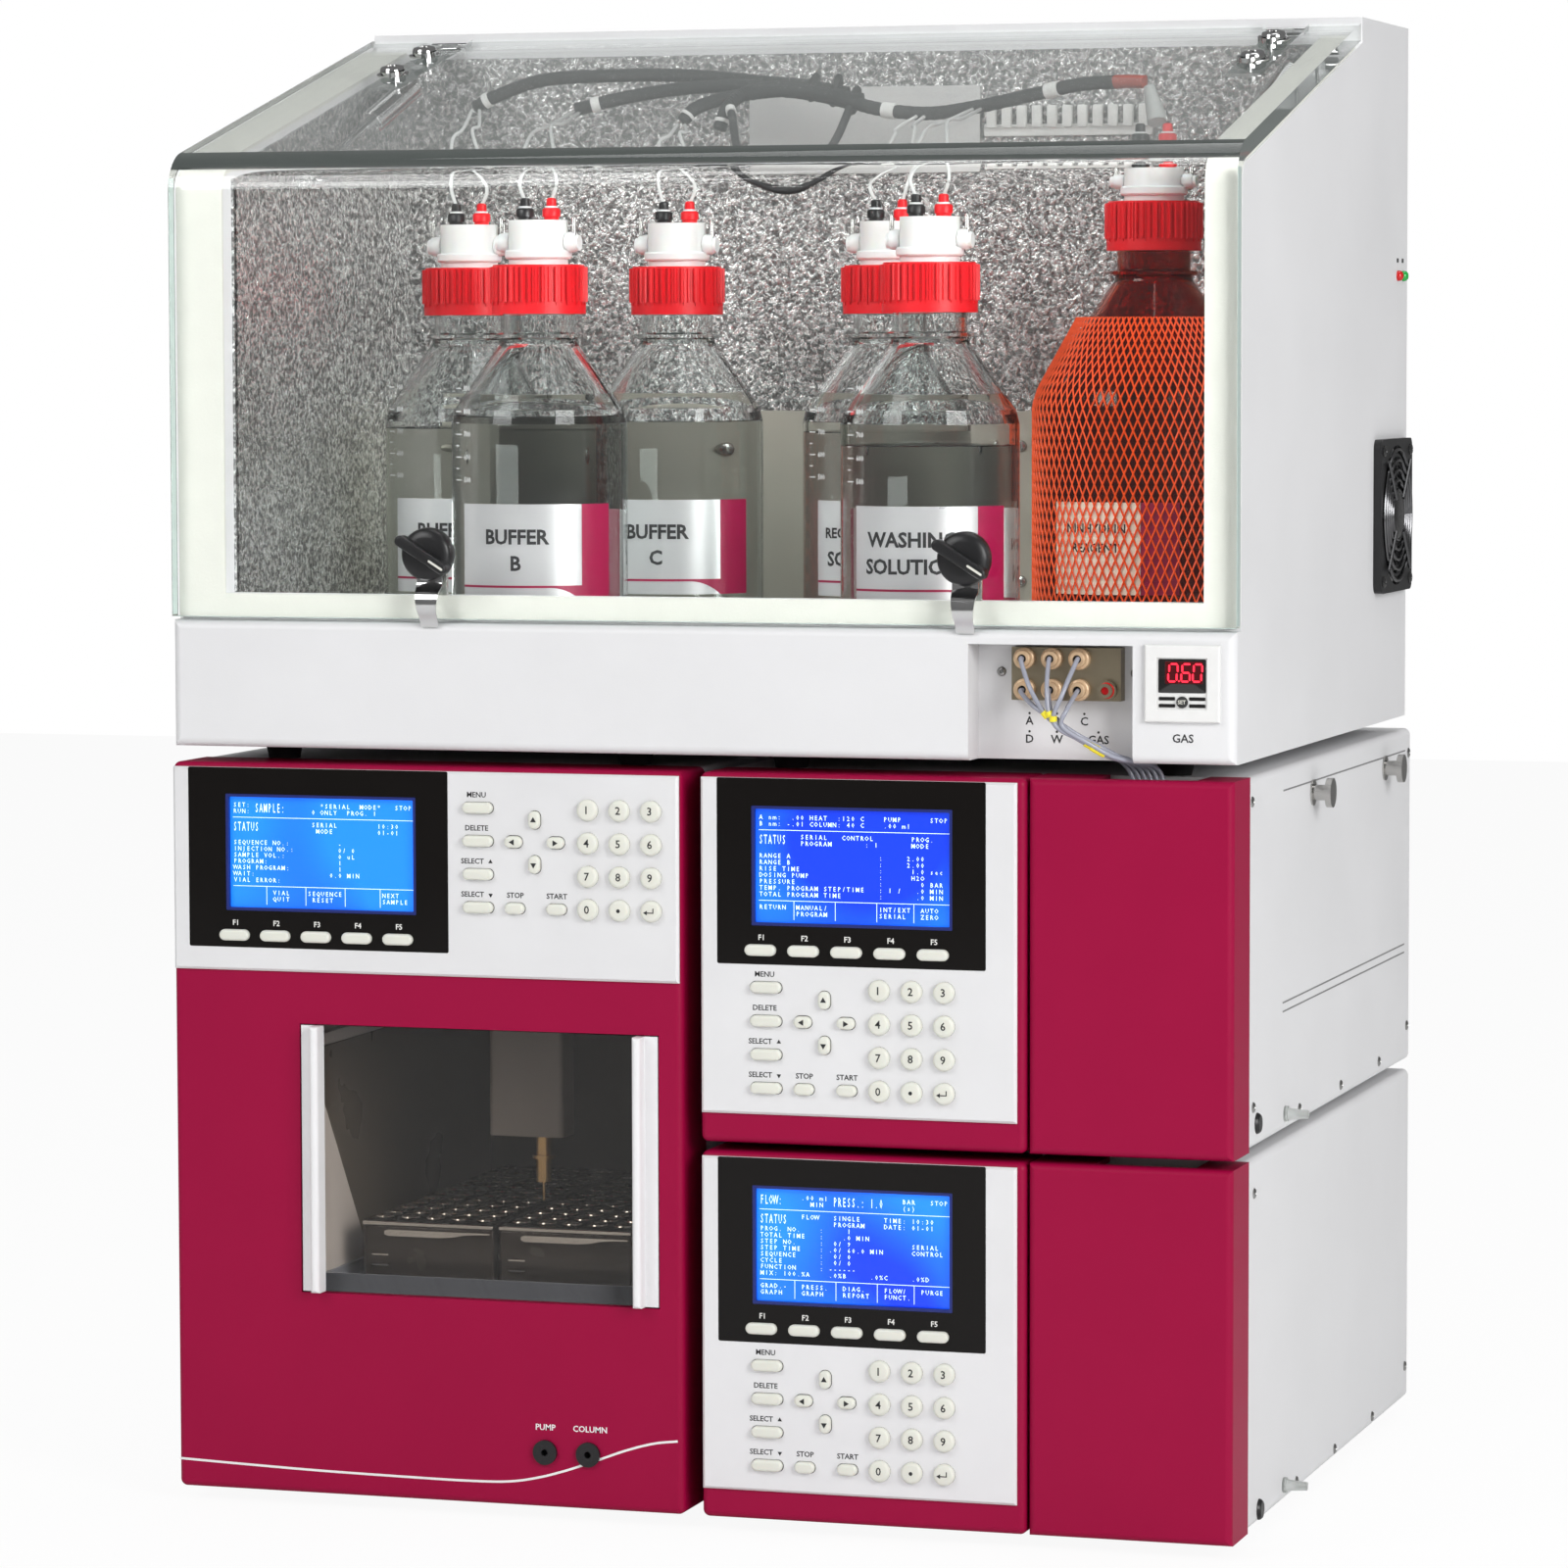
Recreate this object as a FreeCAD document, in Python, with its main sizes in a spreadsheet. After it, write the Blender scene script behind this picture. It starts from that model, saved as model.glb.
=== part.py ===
"""Bench analyzer: an injector, a reaction module and a pump module under a cooled reagent cabinet.

The origin lies on the bench under the middle of the stack. X points to the right, Y to the back
and Z up. Every size is in millimetres. front_y is the plane of the three red front covers.
"""
import FreeCAD, Part
import math
import os
import re
import Sketcher

os.makedirs("parts", exist_ok=True)
doc = FreeCAD.newDocument("bench_analyzer")

# Driving sizes
SIZES = {
    # the stack
    "left_x": -316.5,
    "front_y": -233.75,
    "foot_height": 8,
    "module_gap": 5,
    "stack_gap": 9,
    "unit_depth": 484,
    "fascia_depth": 42,
    "fascia_radius": 4,
    "cover_wall": 10,
    "case_inset": 0.6,
    "case_radius": 4,
    "injector_width": 306,
    "module_width": 303.5,
    "unit_gap": 10.5,
    "overall_width": "=injector_width + unit_gap + module_width",
    "module_height": 206.5,
    # control panels
    "panel_thick": 2.5,
    "panel_margin": 2.5,
    "panel_bevel": 1.4,
    "bay_depth": 3,
    "bay_margin": 1,
    "lcd_width": 115.5,
    "lcd_height": 66.5,
    "lcd_thick": 2.6,
    "lcd_overlap": 2,
    "mat_thick": 2,
    "mat_border": 3,
    "key_rise": 3,
    "key_gap": 0.4,
    "key_round": 11.4,
    "key_long": 18,
    "key_short": 11.5,
    "key_slim": 6,
    "arrow_long": 10,
    "arrow_slim": 6.6,
    "function_pitch": 24.8,
    "menu_pitch": 18.7,
    "number_pitch": 18.6,
    "number_offset": 65.3,
    "arrow_offset": 33.8,
    "arrow_reach": 12.5,
    "stop_offset": 21.9,
    "start_offset": 46.6,
    "injector_panel_width": "=injector_width - panel_margin",
    "injector_panel_height": 115.8,
    "injector_lcd_z": 334,
    "injector_menu_inset": 119.3,
    "injector_menu_x": "=injector_width - injector_menu_inset",
    "injector_lcd_share": 0.473,
    "injector_lcd_x": "=(injector_menu_x - lcd_width) * injector_lcd_share",
    "injector_menu_z": 395.5,
    "injector_function_z": 320,
    "function_offset": 5.4,
    "module_panel_width": 181.5,
    "module_panel_height": 187.3,
    "module_lcd_x": 31,
    "module_lcd_z": 122.1,
    "module_menu_x": 39.5,
    "module_menu_z": 87.8,
    "module_function_z": 108.5,
    # sample drawer and its chamber
    "window_x": 76.8,
    "window_z": 116,
    "window_inset": 13.8,
    "window_width": "=injector_width - window_x - window_inset",
    "window_height": 154,
    "chamber_margin": 6,
    "chamber_depth": 288,
    "chamber_height": 190,
    "drawer_gap": 0.8,
    "runner_gap": 0.3,
    "pane_thick": 5,
    "pane_y": 3,
    "flange_width": 13.7,
    "flange_thick": 2.4,
    "grip_width": 5.2,
    "grip_rise": 9,
    "cheek_thick": 1.6,
    "cheek_inset": 9,
    "cheek_reach": 84,
    "cheek_height": 113,
    "tray_depth": 262,
    "tray_floor": 2,
    "tray_rim": 10,
    "rack_room": 37.4,
    "rack_width": "=(window_width - 2 * cheek_inset - rack_room) / 2",
    "rack_depth": 236,
    "rack_height": 36,
    "rack_front": 22,
    "rack_gap": 3,
    "vial_columns": 5,
    "vial_rows": 12,
    "vial_pitch": 19,
    "vial_column_pitch": "=rack_width / (vial_columns + 0.2)",
    "vial_radius": 4.9,
    "vial_rise": 2.5,
    "vial_sides": 12,
    # needle gantry
    "ledge_width": 6,
    "ledge_thick": 6,
    "ledge_drop": 40,
    "needle_row": 2,
    "needle_offset": 7,
    "beam_deep": 20,
    "beam_tall": 18,
    "carriage_width": 45,
    "carriage_deep": 22,
    "carriage_tall": 84,
    "needle_radius": 0.8,
    "needle_length": 11,
    "sleeve_radius": 4.5,
    "collar_radius": 6.5,
    "sleeve_out": 27,
    "sleeve_in": 68,
    "running_gap": 0.05,
    # tube ports in the injector front
    "port_x": 223.9,
    "port_z": 31.5,
    "port_pitch": 25.7,
    "port_radius": 5.8,
    "port_flange": 7,
    "port_length": 9,
    # doors of the two modules
    "seam_x": 187.5,
    "seam_gap": 1.4,
    "door_wall": 3,
    "door_back_gap": 2,
    "pivot_inset": 4.5,
    "pivot_y": 5.5,
    "pivot_radius": 1.25,
    "lug_half": 2.1,
    "lug_tall": 6,
    "lug_reach": 13.5,
    "lug_gap": 0.4,
    "skirt_left": 36,
    "skirt_right": 22,
    "skirt_front": 8,
    # behind the doors
    "head_radius": 21,
    "head_length": 24,
    "head_x": 44,
    "head_low_z": 58,
    "head_pitch": 84,
    "valve_radius": 6,
    "valve_length": 14,
    "column_radius": 11,
    "column_length": 120,
    "column_x": 62,
    "column_z": 42,
    "column_stand": 20,
    "column_end": 14,
    # right side of the modules
    "post_y": 203,
    "post_pitch": 204,
    "post_drop": 20,
    "post_radius": 4.5,
    "post_head": 8.5,
    "post_length": 8,
    "post_head_thick": 3.5,
    "drain_y": 133,
    "drain_z": 6,
    "drain_radius": 3.4,
    "drain_length": 13,
    # feet
    "foot_radius": 11,
    "foot_taper": 2,
    "foot_inset_x": 34,
    "foot_inset_y": 46,
    "cabinet_foot_x": 46,
    "cabinet_foot_inner": 36,
    # reagent cabinet
    "cabinet_shift": 1,
    "cabinet_width": "=overall_width",
    "cabinet_depth": 460,
    "base_height": 72,
    "base_radius": 5,
    "cabinet_height": 418,
    "edge_height": 323,
    "slope_run": 312,
    "slope_rise": 80,
    "step_gap": 5.5,
    "wall_left": 29,
    "wall_right": 20,
    "cavity_back": 312,
    "cavity_floor": 41,
    "sill_height": 87,
    "sill_thick": 12,
    "lining_thick": 1.5,
    "lining_drop": 4,
    "plate_height": 145,
    "plate_side": 18,
    "hood_wall": 10,
    "hood_gap": 2,
    "hood_bend": 24,
    "seal_thick": 1.8,
    "seal_width": 22,
    # hood hinges and springs
    "hinge_y": 318,
    "hinge_drop": 4.8,
    "hinge_inset": 24,
    "knuckle_radius": 3.4,
    "knuckle_width": 9,
    "notch_width": 26,
    "notch_depth": 12,
    "hinge_pin": 1.5,
    "arm_width": 20,
    "arm_thick": 1.6,
    "arm_front": 205,
    "screw_front": 222,
    "screw_pitch": 54,
    "screw_radius": 2.2,
    "screw_head": 7,
    "screw_head_thick": 3,
    "spring_inset": 12,
    "spring_front_y": 128,
    "spring_front_z": 326,
    "spring_back_y": 294,
    "spring_back_z": 383,
    "rod_radius": 2.5,
    "coil_radius": 6.5,
    "coil_length": 92,
    "rod_overlap": 60,
    "eye_radius": 4,
    "eye_width": 4,
    "slot_run": 7.6,
    "slot_rise": 2.5,
    # hood latches
    "latch_x": 158,
    "latch_inset": 150,
    "latch_pitch": "=overall_width - latch_x - latch_inset",
    "latch_z": 110.6,
    "knob_radius": 14.5,
    "knob_thick": 8,
    "wing_length": 34,
    "wing_thick": 6,
    "wing_rise": 8,
    "latch_shaft": 4,
    "cam_width": 12,
    "cam_thick": 2.5,
    # gas manifold and pressure meter in the base
    "recess_inset": 148.8,
    "recess_x": "=overall_width - recess_inset",
    "recess_width": 92.5,
    "recess_top": 8,
    "recess_depth": 22,
    "manifold_inset": 127.6,
    "manifold_x": "=overall_width - manifold_inset",
    "manifold_width": 61.5,
    "manifold_height": 29,
    "manifold_z": 33,
    "manifold_thick": 9,
    "fitting_pitch": 15.5,
    "fitting_row": 17,
    "fitting_radius": 5.5,
    "fitting_length": 7,
    "fitting_bore": 2.2,
    "meter_inset": 49.2,
    "meter_x": "=overall_width - meter_inset",
    "meter_z": 23,
    "meter_side": 42,
    "meter_rise": 3,
    "meter_body": 36,
    "meter_depth": 25,
    "set_key_radius": 3,
    "set_key_z": 7,
    "set_key_rise": 1.2,
    # right side of the cabinet
    "fan_y": 408,
    "fan_z": 124,
    "fan_side": 92,
    "fan_thick": 5,
    "fan_bore": 42,
    "fan_well": 27,
    "fan_hub": 17,
    "fan_rings": 4,
    "ring_wall": 1.6,
    "ring_thick": 2,
    "blade_count": 7,
    "blade_thick": 2,
    "blade_reach": 39,
    "rotor_thick": 18,
    "spindle_radius": 3,
    "lamp_y": 430.7,
    "lamp_pitch": 15,
    "lamp_z": 268,
    "lamp_radius": 3,
    "lamp_rise": 3,
    # bottles
    "bottle_radius": 50.5,
    "bottle_height": 225,
    "bottle_shoulder": 140,
    "glass_wall": 3,
    "neck_radius": 21,
    "neck_ring": 25.5,
    "neck_base": 188,
    "rear_row_x": 107,
    "rear_row_y": 205,
    "amber_room": 230,
    "rear_row_pitch": "=(overall_width - amber_room) / 3",
    "front_row_x": 190,
    "front_row_y": 95,
    "front_row_share": 1.792,
    "front_row_pitch": "=rear_row_pitch * front_row_share",
    "amber_inset": 90,
    "amber_x": "=overall_width - amber_inset",
    "amber_y": 185,
    "amber_radius": 68,
    "amber_height": 260,
    "amber_shoulder": 150,
    "amber_neck_base": 223,
    "cap_radius": 27,
    "cap_height": 28,
    "cap_wall": 3.4,
    "cap_gap": 0.4,
    "cap_over": 3,
    "cap_rib": 0.8,
    "cap_ribs": 24,
    "cap_skirt": 5,
    "head_block": 17,
    "head_rise": 26,
    "arm_radius": 4.5,
    "arm_reach": 25,
    "plug_radius": 3.8,
    "plug_rise": 8,
    "plug_offset": 8,
    # back of the units
    "inlet_width": 27.5,
    "inlet_height": 20,
    "inlet_depth": 12,
    "slot_count": 8,
    "slot_pitch": 11,
    "slot_width": 90,
    "slot_height": 4,
    "slot_depth": 3,
}

sheet = doc.addObject("Spreadsheet::Sheet", "Sizes")
for row, (alias, amount) in enumerate(SIZES.items(), 1):
    sheet.set(f"A{row}", alias)
    sheet.set(f"B{row}", str(amount))
    sheet.setAlias(f"B{row}", alias)
doc.recompute()

# Places that several pieces share, as expressions of the driving sizes
LEFT = "left_x"
RIGHT = "(left_x + overall_width)"
MODULE_LEFT = f"({RIGHT} - module_width)"
SEAM = f"({MODULE_LEFT} + seam_x)"
FRONT = "front_y"
FASCIA_BACK = "(front_y + fascia_depth)"
LOW = "foot_height"
MIDDLE = "(foot_height + module_height + module_gap)"
STACK_TOP = "(foot_height + 2 * module_height + module_gap)"
INJECTOR_HEIGHT = "(2 * module_height + module_gap)"
WINDOW_X = f"({LEFT} + window_x)"
WINDOW_Z = f"({LOW} + window_z)"
CHAMBER_X = f"({WINDOW_X} - chamber_margin)"
CHAMBER_Z = f"({WINDOW_Z} - chamber_margin)"
CHAMBER_WIDTH = "(window_width + 2 * chamber_margin)"
TRAY_Z = f"({WINDOW_Z} + drawer_gap)"
LEDGE_TOP = f"({CHAMBER_Z} + chamber_height - ledge_drop)"
CABINET_X = f"({LEFT} + cabinet_shift)"
CABINET_RIGHT = f"({CABINET_X} + cabinet_width)"
CABINET_Z = f"({STACK_TOP} + stack_gap)"
CABINET_TOP = f"({CABINET_Z} + cabinet_height)"
CAVITY_X = f"({CABINET_X} + wall_left)"
CAVITY_WIDTH = "(cabinet_width - wall_left - wall_right)"
CAVITY_Z = f"({CABINET_Z} + cavity_floor)"
FLOOR_Z = f"({CAVITY_Z} + lining_thick)"
EDGE_Y = f"({FRONT} + hood_wall + hood_gap)"
EDGE_Z = f"({CABINET_Z} + edge_height)"
STEP_Y = f"({EDGE_Y} + slope_run)"
SLOPE = "(slope_rise / slope_run)"
LEAN = "(sqrt(slope_run ^ 2 + slope_rise ^ 2) / slope_run)"
HINGE_Y = f"({FRONT} + hinge_y)"
HINGE_Z = f"({EDGE_Z} + ({HINGE_Y} - {EDGE_Y}) * {SLOPE} + (hood_gap + hood_wall) * {LEAN} - hinge_drop)"

WORDS = re.compile(r"[a-z][a-z0-9_]*")
nodes = []


def tied(text):
    """Gives an expression in which every size name stands for its cell."""
    return WORDS.sub(lambda word: "Sizes." + word.group() if word.group() in SIZES else word.group(), text)


def bind(thing, prop, text):
    thing.setExpression(prop, tied(str(text)))


def size(alias):
    return float(sheet.get(alias))


def place(thing, x, y, z):
    for letter, text in zip("xyz", (x, y, z)):
        bind(thing, f"Placement.Base.{letter}", text)


def box(x, y, z, wide, deep, tall):
    block = doc.addObject("Part::Box", "block")
    bind(block, "Length", wide)
    bind(block, "Width", deep)
    bind(block, "Height", tall)
    place(block, x, y, z)
    return block


TURNS = {
    "X": FreeCAD.Rotation(FreeCAD.Vector(0, 1, 0), 90),
    "Y": FreeCAD.Rotation(FreeCAD.Vector(1, 0, 0), -90),
    "-Y": FreeCAD.Rotation(FreeCAD.Vector(1, 0, 0), 90),
    "Z": FreeCAD.Rotation(),
}


def turned_to(thing, direction):
    turn = direction if isinstance(direction, FreeCAD.Rotation) else TURNS[direction]
    thing.Placement = FreeCAD.Placement(FreeCAD.Vector(), turn)


def rod(x, y, z, radius, length, direction="Z"):
    """A cylinder from a point along a direction."""
    bar = doc.addObject("Part::Cylinder", "rod")
    turned_to(bar, direction)
    bind(bar, "Radius", radius)
    bind(bar, "Height", length)
    place(bar, x, y, z)
    return bar


def taper(x, y, z, radius, tip, length, direction="Z"):
    """A cone frustum from a point along a direction."""
    frustum = doc.addObject("Part::Cone", "taper")
    turned_to(frustum, direction)
    bind(frustum, "Radius1", radius)
    bind(frustum, "Radius2", tip)
    bind(frustum, "Height", length)
    place(frustum, x, y, z)
    return frustum


def fuse(*pieces):
    joined = doc.addObject("Part::MultiFuse", "fuse")
    joined.Shapes = list(pieces)
    joined.Refine = True
    return joined


def group(*pieces):
    """Separate solids that share one node."""
    bundle = doc.addObject("Part::Compound", "group")
    bundle.Links = list(pieces)
    return bundle


def cut(base, *tools):
    result = doc.addObject("Part::Cut", "cut")
    result.Base = base
    result.Tool = tools[0] if len(tools) == 1 else group(*tools)
    result.Refine = True
    return result


def along(edge, axis):
    """True for a straight edge that runs along one axis."""
    if edge.Curve.TypeId != "Part::GeomLine":
        return False
    return abs(abs(edge.Curve.Direction[axis]) - 1) < 1e-6


def rounded(base, radius, pick, kind="Part::Fillet"):
    """Rounds or bevels the edges of a piece that the pick function accepts."""
    doc.recompute()
    eased = doc.addObject(kind, "eased")
    eased.Base = base
    edges = enumerate(base.Shape.Edges, 1)
    eased.Edges = [(number, radius, radius) for number, edge in edges if pick(edge, base.Shape.BoundBox)]
    return eased


def front_edges(edge, bounds):
    """The edges round the front face."""
    return edge.BoundBox.YMax < bounds.YMin + 1e-3


def front_and_long(edge, bounds):
    return front_edges(edge, bounds) or along(edge, 1)


def side_pad(x, width, points):
    """A body padded along X from a closed outline of (y, z) points."""
    body = doc.addObject("PartDesign::Body", "body")
    plane = next(item for item in body.Origin.OriginFeatures if item.Role == "YZ_Plane")
    outline = body.newObject("Sketcher::SketchObject", "outline")
    outline.AttachmentSupport = (plane, "")
    outline.MapMode = "FlatFace"
    draw(outline, points)
    pad = body.newObject("PartDesign::Pad", "pad")
    pad.Profile = outline
    bind(pad, "Length", width)
    bind(body, "Placement.Base.x", x)
    return body


def turned_body(x, y, z, points):
    """A body turned about the Z axis from a closed outline of (radius, z) points."""
    body = doc.addObject("PartDesign::Body", "body")
    plane = next(item for item in body.Origin.OriginFeatures if item.Role == "XZ_Plane")
    outline = body.newObject("Sketcher::SketchObject", "outline")
    outline.AttachmentSupport = (plane, "")
    outline.MapMode = "FlatFace"
    draw(outline, points)
    turning = body.newObject("PartDesign::Revolution", "turning")
    turning.Profile = outline
    turning.ReferenceAxis = (outline, ["V_Axis"])
    turning.Angle = 360
    place(body, x, y, z)
    return body


def draw(outline, points):
    """Draws a closed outline, each corner tied to the origin by two sizes."""
    count = len(points)
    rough = [FreeCAD.Vector(math.cos(step), math.sin(step), 0) * 50
             for step in (2 * math.pi * corner / count + 0.1 for corner in range(count))]
    for corner in range(count):
        outline.addGeometry(Part.LineSegment(rough[corner], rough[(corner + 1) % count]), False)
    for corner in range(count):
        outline.addConstraint(Sketcher.Constraint("Coincident", corner, 2, (corner + 1) % count, 1))
    for corner, (across, up) in enumerate(points):
        for kind, text, start in (("DistanceX", across, rough[corner].x),
                                  ("DistanceY", up, rough[corner].y)):
            number = outline.addConstraint(Sketcher.Constraint(kind, -1, 1, corner, 1, start))
            bind(outline, f"Constraints[{number}]", text)


def node(name, piece):
    piece.Label = name
    nodes.append(piece)
    return piece


def copy_of(piece, x, y, z):
    """The same form again at another place."""
    doc.recompute()
    twin = doc.addObject("Part::Feature", "twin")
    twin.Shape = piece.Shape
    place(twin, x, y, z)
    return twin


# Keys: one block of menu, arrow and number keys, and a row of function keys
def pill(x, z, long, slim, rise, grow):
    """A key with round ends, standing out towards the front."""
    wide = f"({long} + 2 * {grow})"
    tall = f"({slim} + 2 * {grow})"
    bar = box(f"{x} - {wide} / 2", f"{FRONT} - {rise}", f"{z} - {tall} / 2", wide, f"{rise} + bay_depth",
              tall)
    doc.recompute()
    radius = 0.48 * min(bar.Length.Value, bar.Height.Value)
    return rounded(bar, radius, lambda edge, bounds: along(edge, 1))


def keys(menu_x, menu_z, function_x, function_z, rise, grow):
    """Every key of one unit, or with some growth the holes that they stand in."""
    shapes = []
    for number in range(5):
        shapes.append(pill(f"({function_x} + {number} * function_pitch)", function_z, "key_long",
                           "key_slim", rise, grow))
    for number in range(4):
        shapes.append(pill(menu_x, f"({menu_z} - {number} * menu_pitch)", "key_long", "key_slim", rise,
                           grow))
    for offset in ("stop_offset", "start_offset"):
        shapes.append(pill(f"({menu_x} + {offset})", f"({menu_z} - 3 * menu_pitch)", "key_short",
                           "key_slim", rise, grow))
    middle_x = f"({menu_x} + arrow_offset)"
    middle_z = f"({menu_z} - menu_pitch)"
    for side in ("+", "-"):
        shapes.append(pill(middle_x, f"({middle_z} {side} arrow_reach)", "arrow_slim", "arrow_long", rise,
                           grow))
        shapes.append(pill(f"({middle_x} {side} arrow_reach)", middle_z, "arrow_long", "arrow_slim", rise,
                           grow))
    for column in range(3):
        for line in range(4):
            x = f"{menu_x} + number_offset + {column} * number_pitch"
            z = f"{menu_z} - {line} * number_pitch"
            radius = f"key_round / 2 + {grow}"
            shapes.append(rod(x, f"{FRONT} - {rise}", z, radius, f"{rise} + bay_depth", "Y"))
    return shapes


def control_panel(name, unit_x, unit_z, unit_height, prefix):
    """Makes the plate, the display and the key mat of one unit, and gives the bay behind them."""
    plate_x = f"({unit_x} + panel_margin / 2)"
    plate_z = f"({unit_z} + {unit_height} - panel_margin - {prefix}_panel_height)"
    lcd_x = f"({unit_x} + {prefix}_lcd_x)"
    lcd_z = f"({unit_z} + {prefix}_lcd_z)"
    menu_x = f"({unit_x} + {prefix}_menu_x)"
    menu_z = f"({unit_z} + {prefix}_menu_z)"
    function_x = f"({lcd_x} + function_offset)"
    function_z = f"({unit_z} + {prefix}_function_z)"
    layout = (menu_x, menu_z, function_x, function_z)

    plate = box(plate_x, f"{FRONT} - panel_thick", plate_z,
                f"{prefix}_panel_width", "panel_thick", f"{prefix}_panel_height")
    plate = rounded(plate, size("panel_bevel"), front_edges, "Part::Chamfer")
    opening = box(lcd_x, f"{FRONT} - 2 * panel_thick", lcd_z, "lcd_width", "3 * panel_thick", "lcd_height")
    node(f"{name}_panel", cut(plate, opening, *keys(*layout, "(2 * panel_thick)", "key_gap")))

    node(f"{name}_lcd", box(f"{lcd_x} - lcd_overlap", f"{FRONT} + bay_depth - lcd_thick",
                            f"{lcd_z} - lcd_overlap",
                            "lcd_width + 2 * lcd_overlap", "lcd_thick", "lcd_height + 2 * lcd_overlap"))

    mat_y = f"{FRONT} + bay_depth - mat_thick"
    row_x = f"({function_x} - key_long / 2 - mat_border)"
    row_z = f"({function_z} - key_slim / 2 - mat_border)"
    block_z = f"({menu_z} - 3 * number_pitch - key_round / 2 - mat_border)"
    block_x = f"({menu_x} - key_long / 2 - mat_border)"
    block_right = f"({menu_x} + number_offset + 2 * number_pitch + key_round / 2 + mat_border)"
    row = box(row_x, mat_y, row_z, f"{block_right} - {row_x}", "mat_thick", "key_slim + 2 * mat_border")
    block = box(block_x, mat_y, block_z, f"{block_right} - {block_x}", "mat_thick",
                f"{menu_z} + key_round / 2 + mat_border - {block_z}")
    mat = [row, block]
    if prefix == "module":
        mat.append(box(row_x, mat_y, block_z, "key_long + 2 * mat_border", "mat_thick",
                       f"{function_z} - {block_z}"))
        mat.append(box(block_x, mat_y, f"{menu_z}", f"{block_right} - {block_x}", "mat_thick",
                       f"{function_z} - {menu_z}"))
    else:
        mat.append(box(block_x, mat_y, f"{function_z}", f"{block_right} - {block_x}", "mat_thick",
                       f"{menu_z} - {function_z}"))
    node(f"{name}_keypad", fuse(*mat, *keys(*layout, "(panel_thick + key_rise)", "0")))

    bay_x = f"({row_x} - bay_margin)"
    bay_z = f"(min({row_z}; {block_z}) - bay_margin)"
    lcd_top = f"{lcd_z} + lcd_height + lcd_overlap"
    bay_top = f"(max({lcd_top}; {menu_z} + key_round / 2 + mat_border) + bay_margin)"
    bay_width = f"max({block_right}; {lcd_x} + lcd_width + lcd_overlap) + bay_margin - {bay_x}"
    return box(bay_x, f"{FRONT} - fascia_depth", bay_z, bay_width, "fascia_depth + bay_depth",
               f"{bay_top} - {bay_z}")


def back_cuts(x, z, y):
    """The power inlet and the vent slots in the back of a unit."""
    inlet = box(f"{x} + inlet_width", f"{y} - inlet_depth", f"{z} + inlet_height",
                "inlet_width", "inlet_depth + 1", "inlet_height")
    cuts = [inlet]
    for number in range(int(size("slot_count"))):
        cuts.append(box(f"{x} + 4 * inlet_width", f"{y} - slot_depth",
                        f"{z} + inlet_height + {number} * slot_pitch",
                        "slot_width", "slot_depth + 1", "slot_height"))
    return cuts


def unit_case(x, z, width, height):
    """The sheet cover behind a red front: long edges rounded, back slotted."""
    shell = box(f"{x} + case_inset", FASCIA_BACK, f"{z} + case_inset", f"{width} - 2 * case_inset",
                "unit_depth - fascia_depth", f"{height} - 2 * case_inset")
    shell = rounded(shell, size("case_radius"), lambda edge, bounds: along(edge, 1))
    return cut(shell, *back_cuts(x, z, "(front_y + unit_depth)"))


def fascia(x, z, width, height, *openings):
    block = box(x, FRONT, z, width, "fascia_depth", height)
    block = rounded(block, size("fascia_radius"), front_and_long)
    return cut(block, *openings)


# Injector: cover, front and ports
chamber = box(CHAMBER_X, f"{FASCIA_BACK} - 1", CHAMBER_Z, CHAMBER_WIDTH, "chamber_depth + 1",
              "chamber_height")
ledges = []
for ledge_x in (CHAMBER_X, f"{CHAMBER_X} + {CHAMBER_WIDTH} - ledge_width"):
    ledges.append(box(ledge_x, FASCIA_BACK, f"{LEDGE_TOP} - ledge_thick", "ledge_width", "chamber_depth",
                      "ledge_thick"))
runner = box(WINDOW_X, FASCIA_BACK, CHAMBER_Z, "window_width", "chamber_depth",
             "chamber_margin + drawer_gap - runner_gap")
node("injector_case", fuse(cut(unit_case(LEFT, LOW, "injector_width", INJECTOR_HEIGHT), chamber), runner,
                           *ledges))

bay = control_panel("injector", LEFT, LOW, INJECTOR_HEIGHT, "injector")
window = box(WINDOW_X, f"{FRONT} - 1", WINDOW_Z, "window_width", "fascia_depth + 2", "window_height")
ports = []
port_holes = []
for number in range(2):
    port_x = f"({LEFT} + port_x + {number} * port_pitch)"
    port_z = f"({LOW} + port_z)"
    port_holes.append(rod(port_x, f"{FRONT} - 1", port_z, "port_radius + key_gap / 2", "port_length + 1",
                          "Y"))
    sleeve = rod(port_x, FRONT, port_z, "port_radius", "port_length - 1", "Y")
    flange = rod(port_x, f"{FRONT} - 2", port_z, "port_flange", "2", "Y")
    bore = rod(port_x, f"{FRONT} - 3", port_z, "port_radius / 3", "port_length - 2", "Y")
    ports.append(cut(fuse(sleeve, flange), bore))
behind = box(CHAMBER_X, f"{FRONT} + cover_wall", CHAMBER_Z, CHAMBER_WIDTH, "fascia_depth", "chamber_height")
node("injector_fascia", fascia(LEFT, LOW, "injector_width", INJECTOR_HEIGHT, window, behind, bay,
                               *port_holes))
node("tube_ports", group(*ports))

# Sample drawer: a clear pane between two folded sides, on a tray that holds two racks of vials
PANE_X = f"({WINDOW_X} + cheek_inset + cheek_thick)"
PANE_WIDTH = "(window_width - 2 * cheek_inset - 2 * cheek_thick)"
PANE_Y = f"({FRONT} + pane_y)"
TRAY_Y = f"({PANE_Y} + pane_thick)"
node("drawer_pane", box(f"{PANE_X} + runner_gap", PANE_Y, TRAY_Z, f"{PANE_WIDTH} - 2 * runner_gap",
                        "pane_thick",
                        "window_height - 2 * drawer_gap"))


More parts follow.
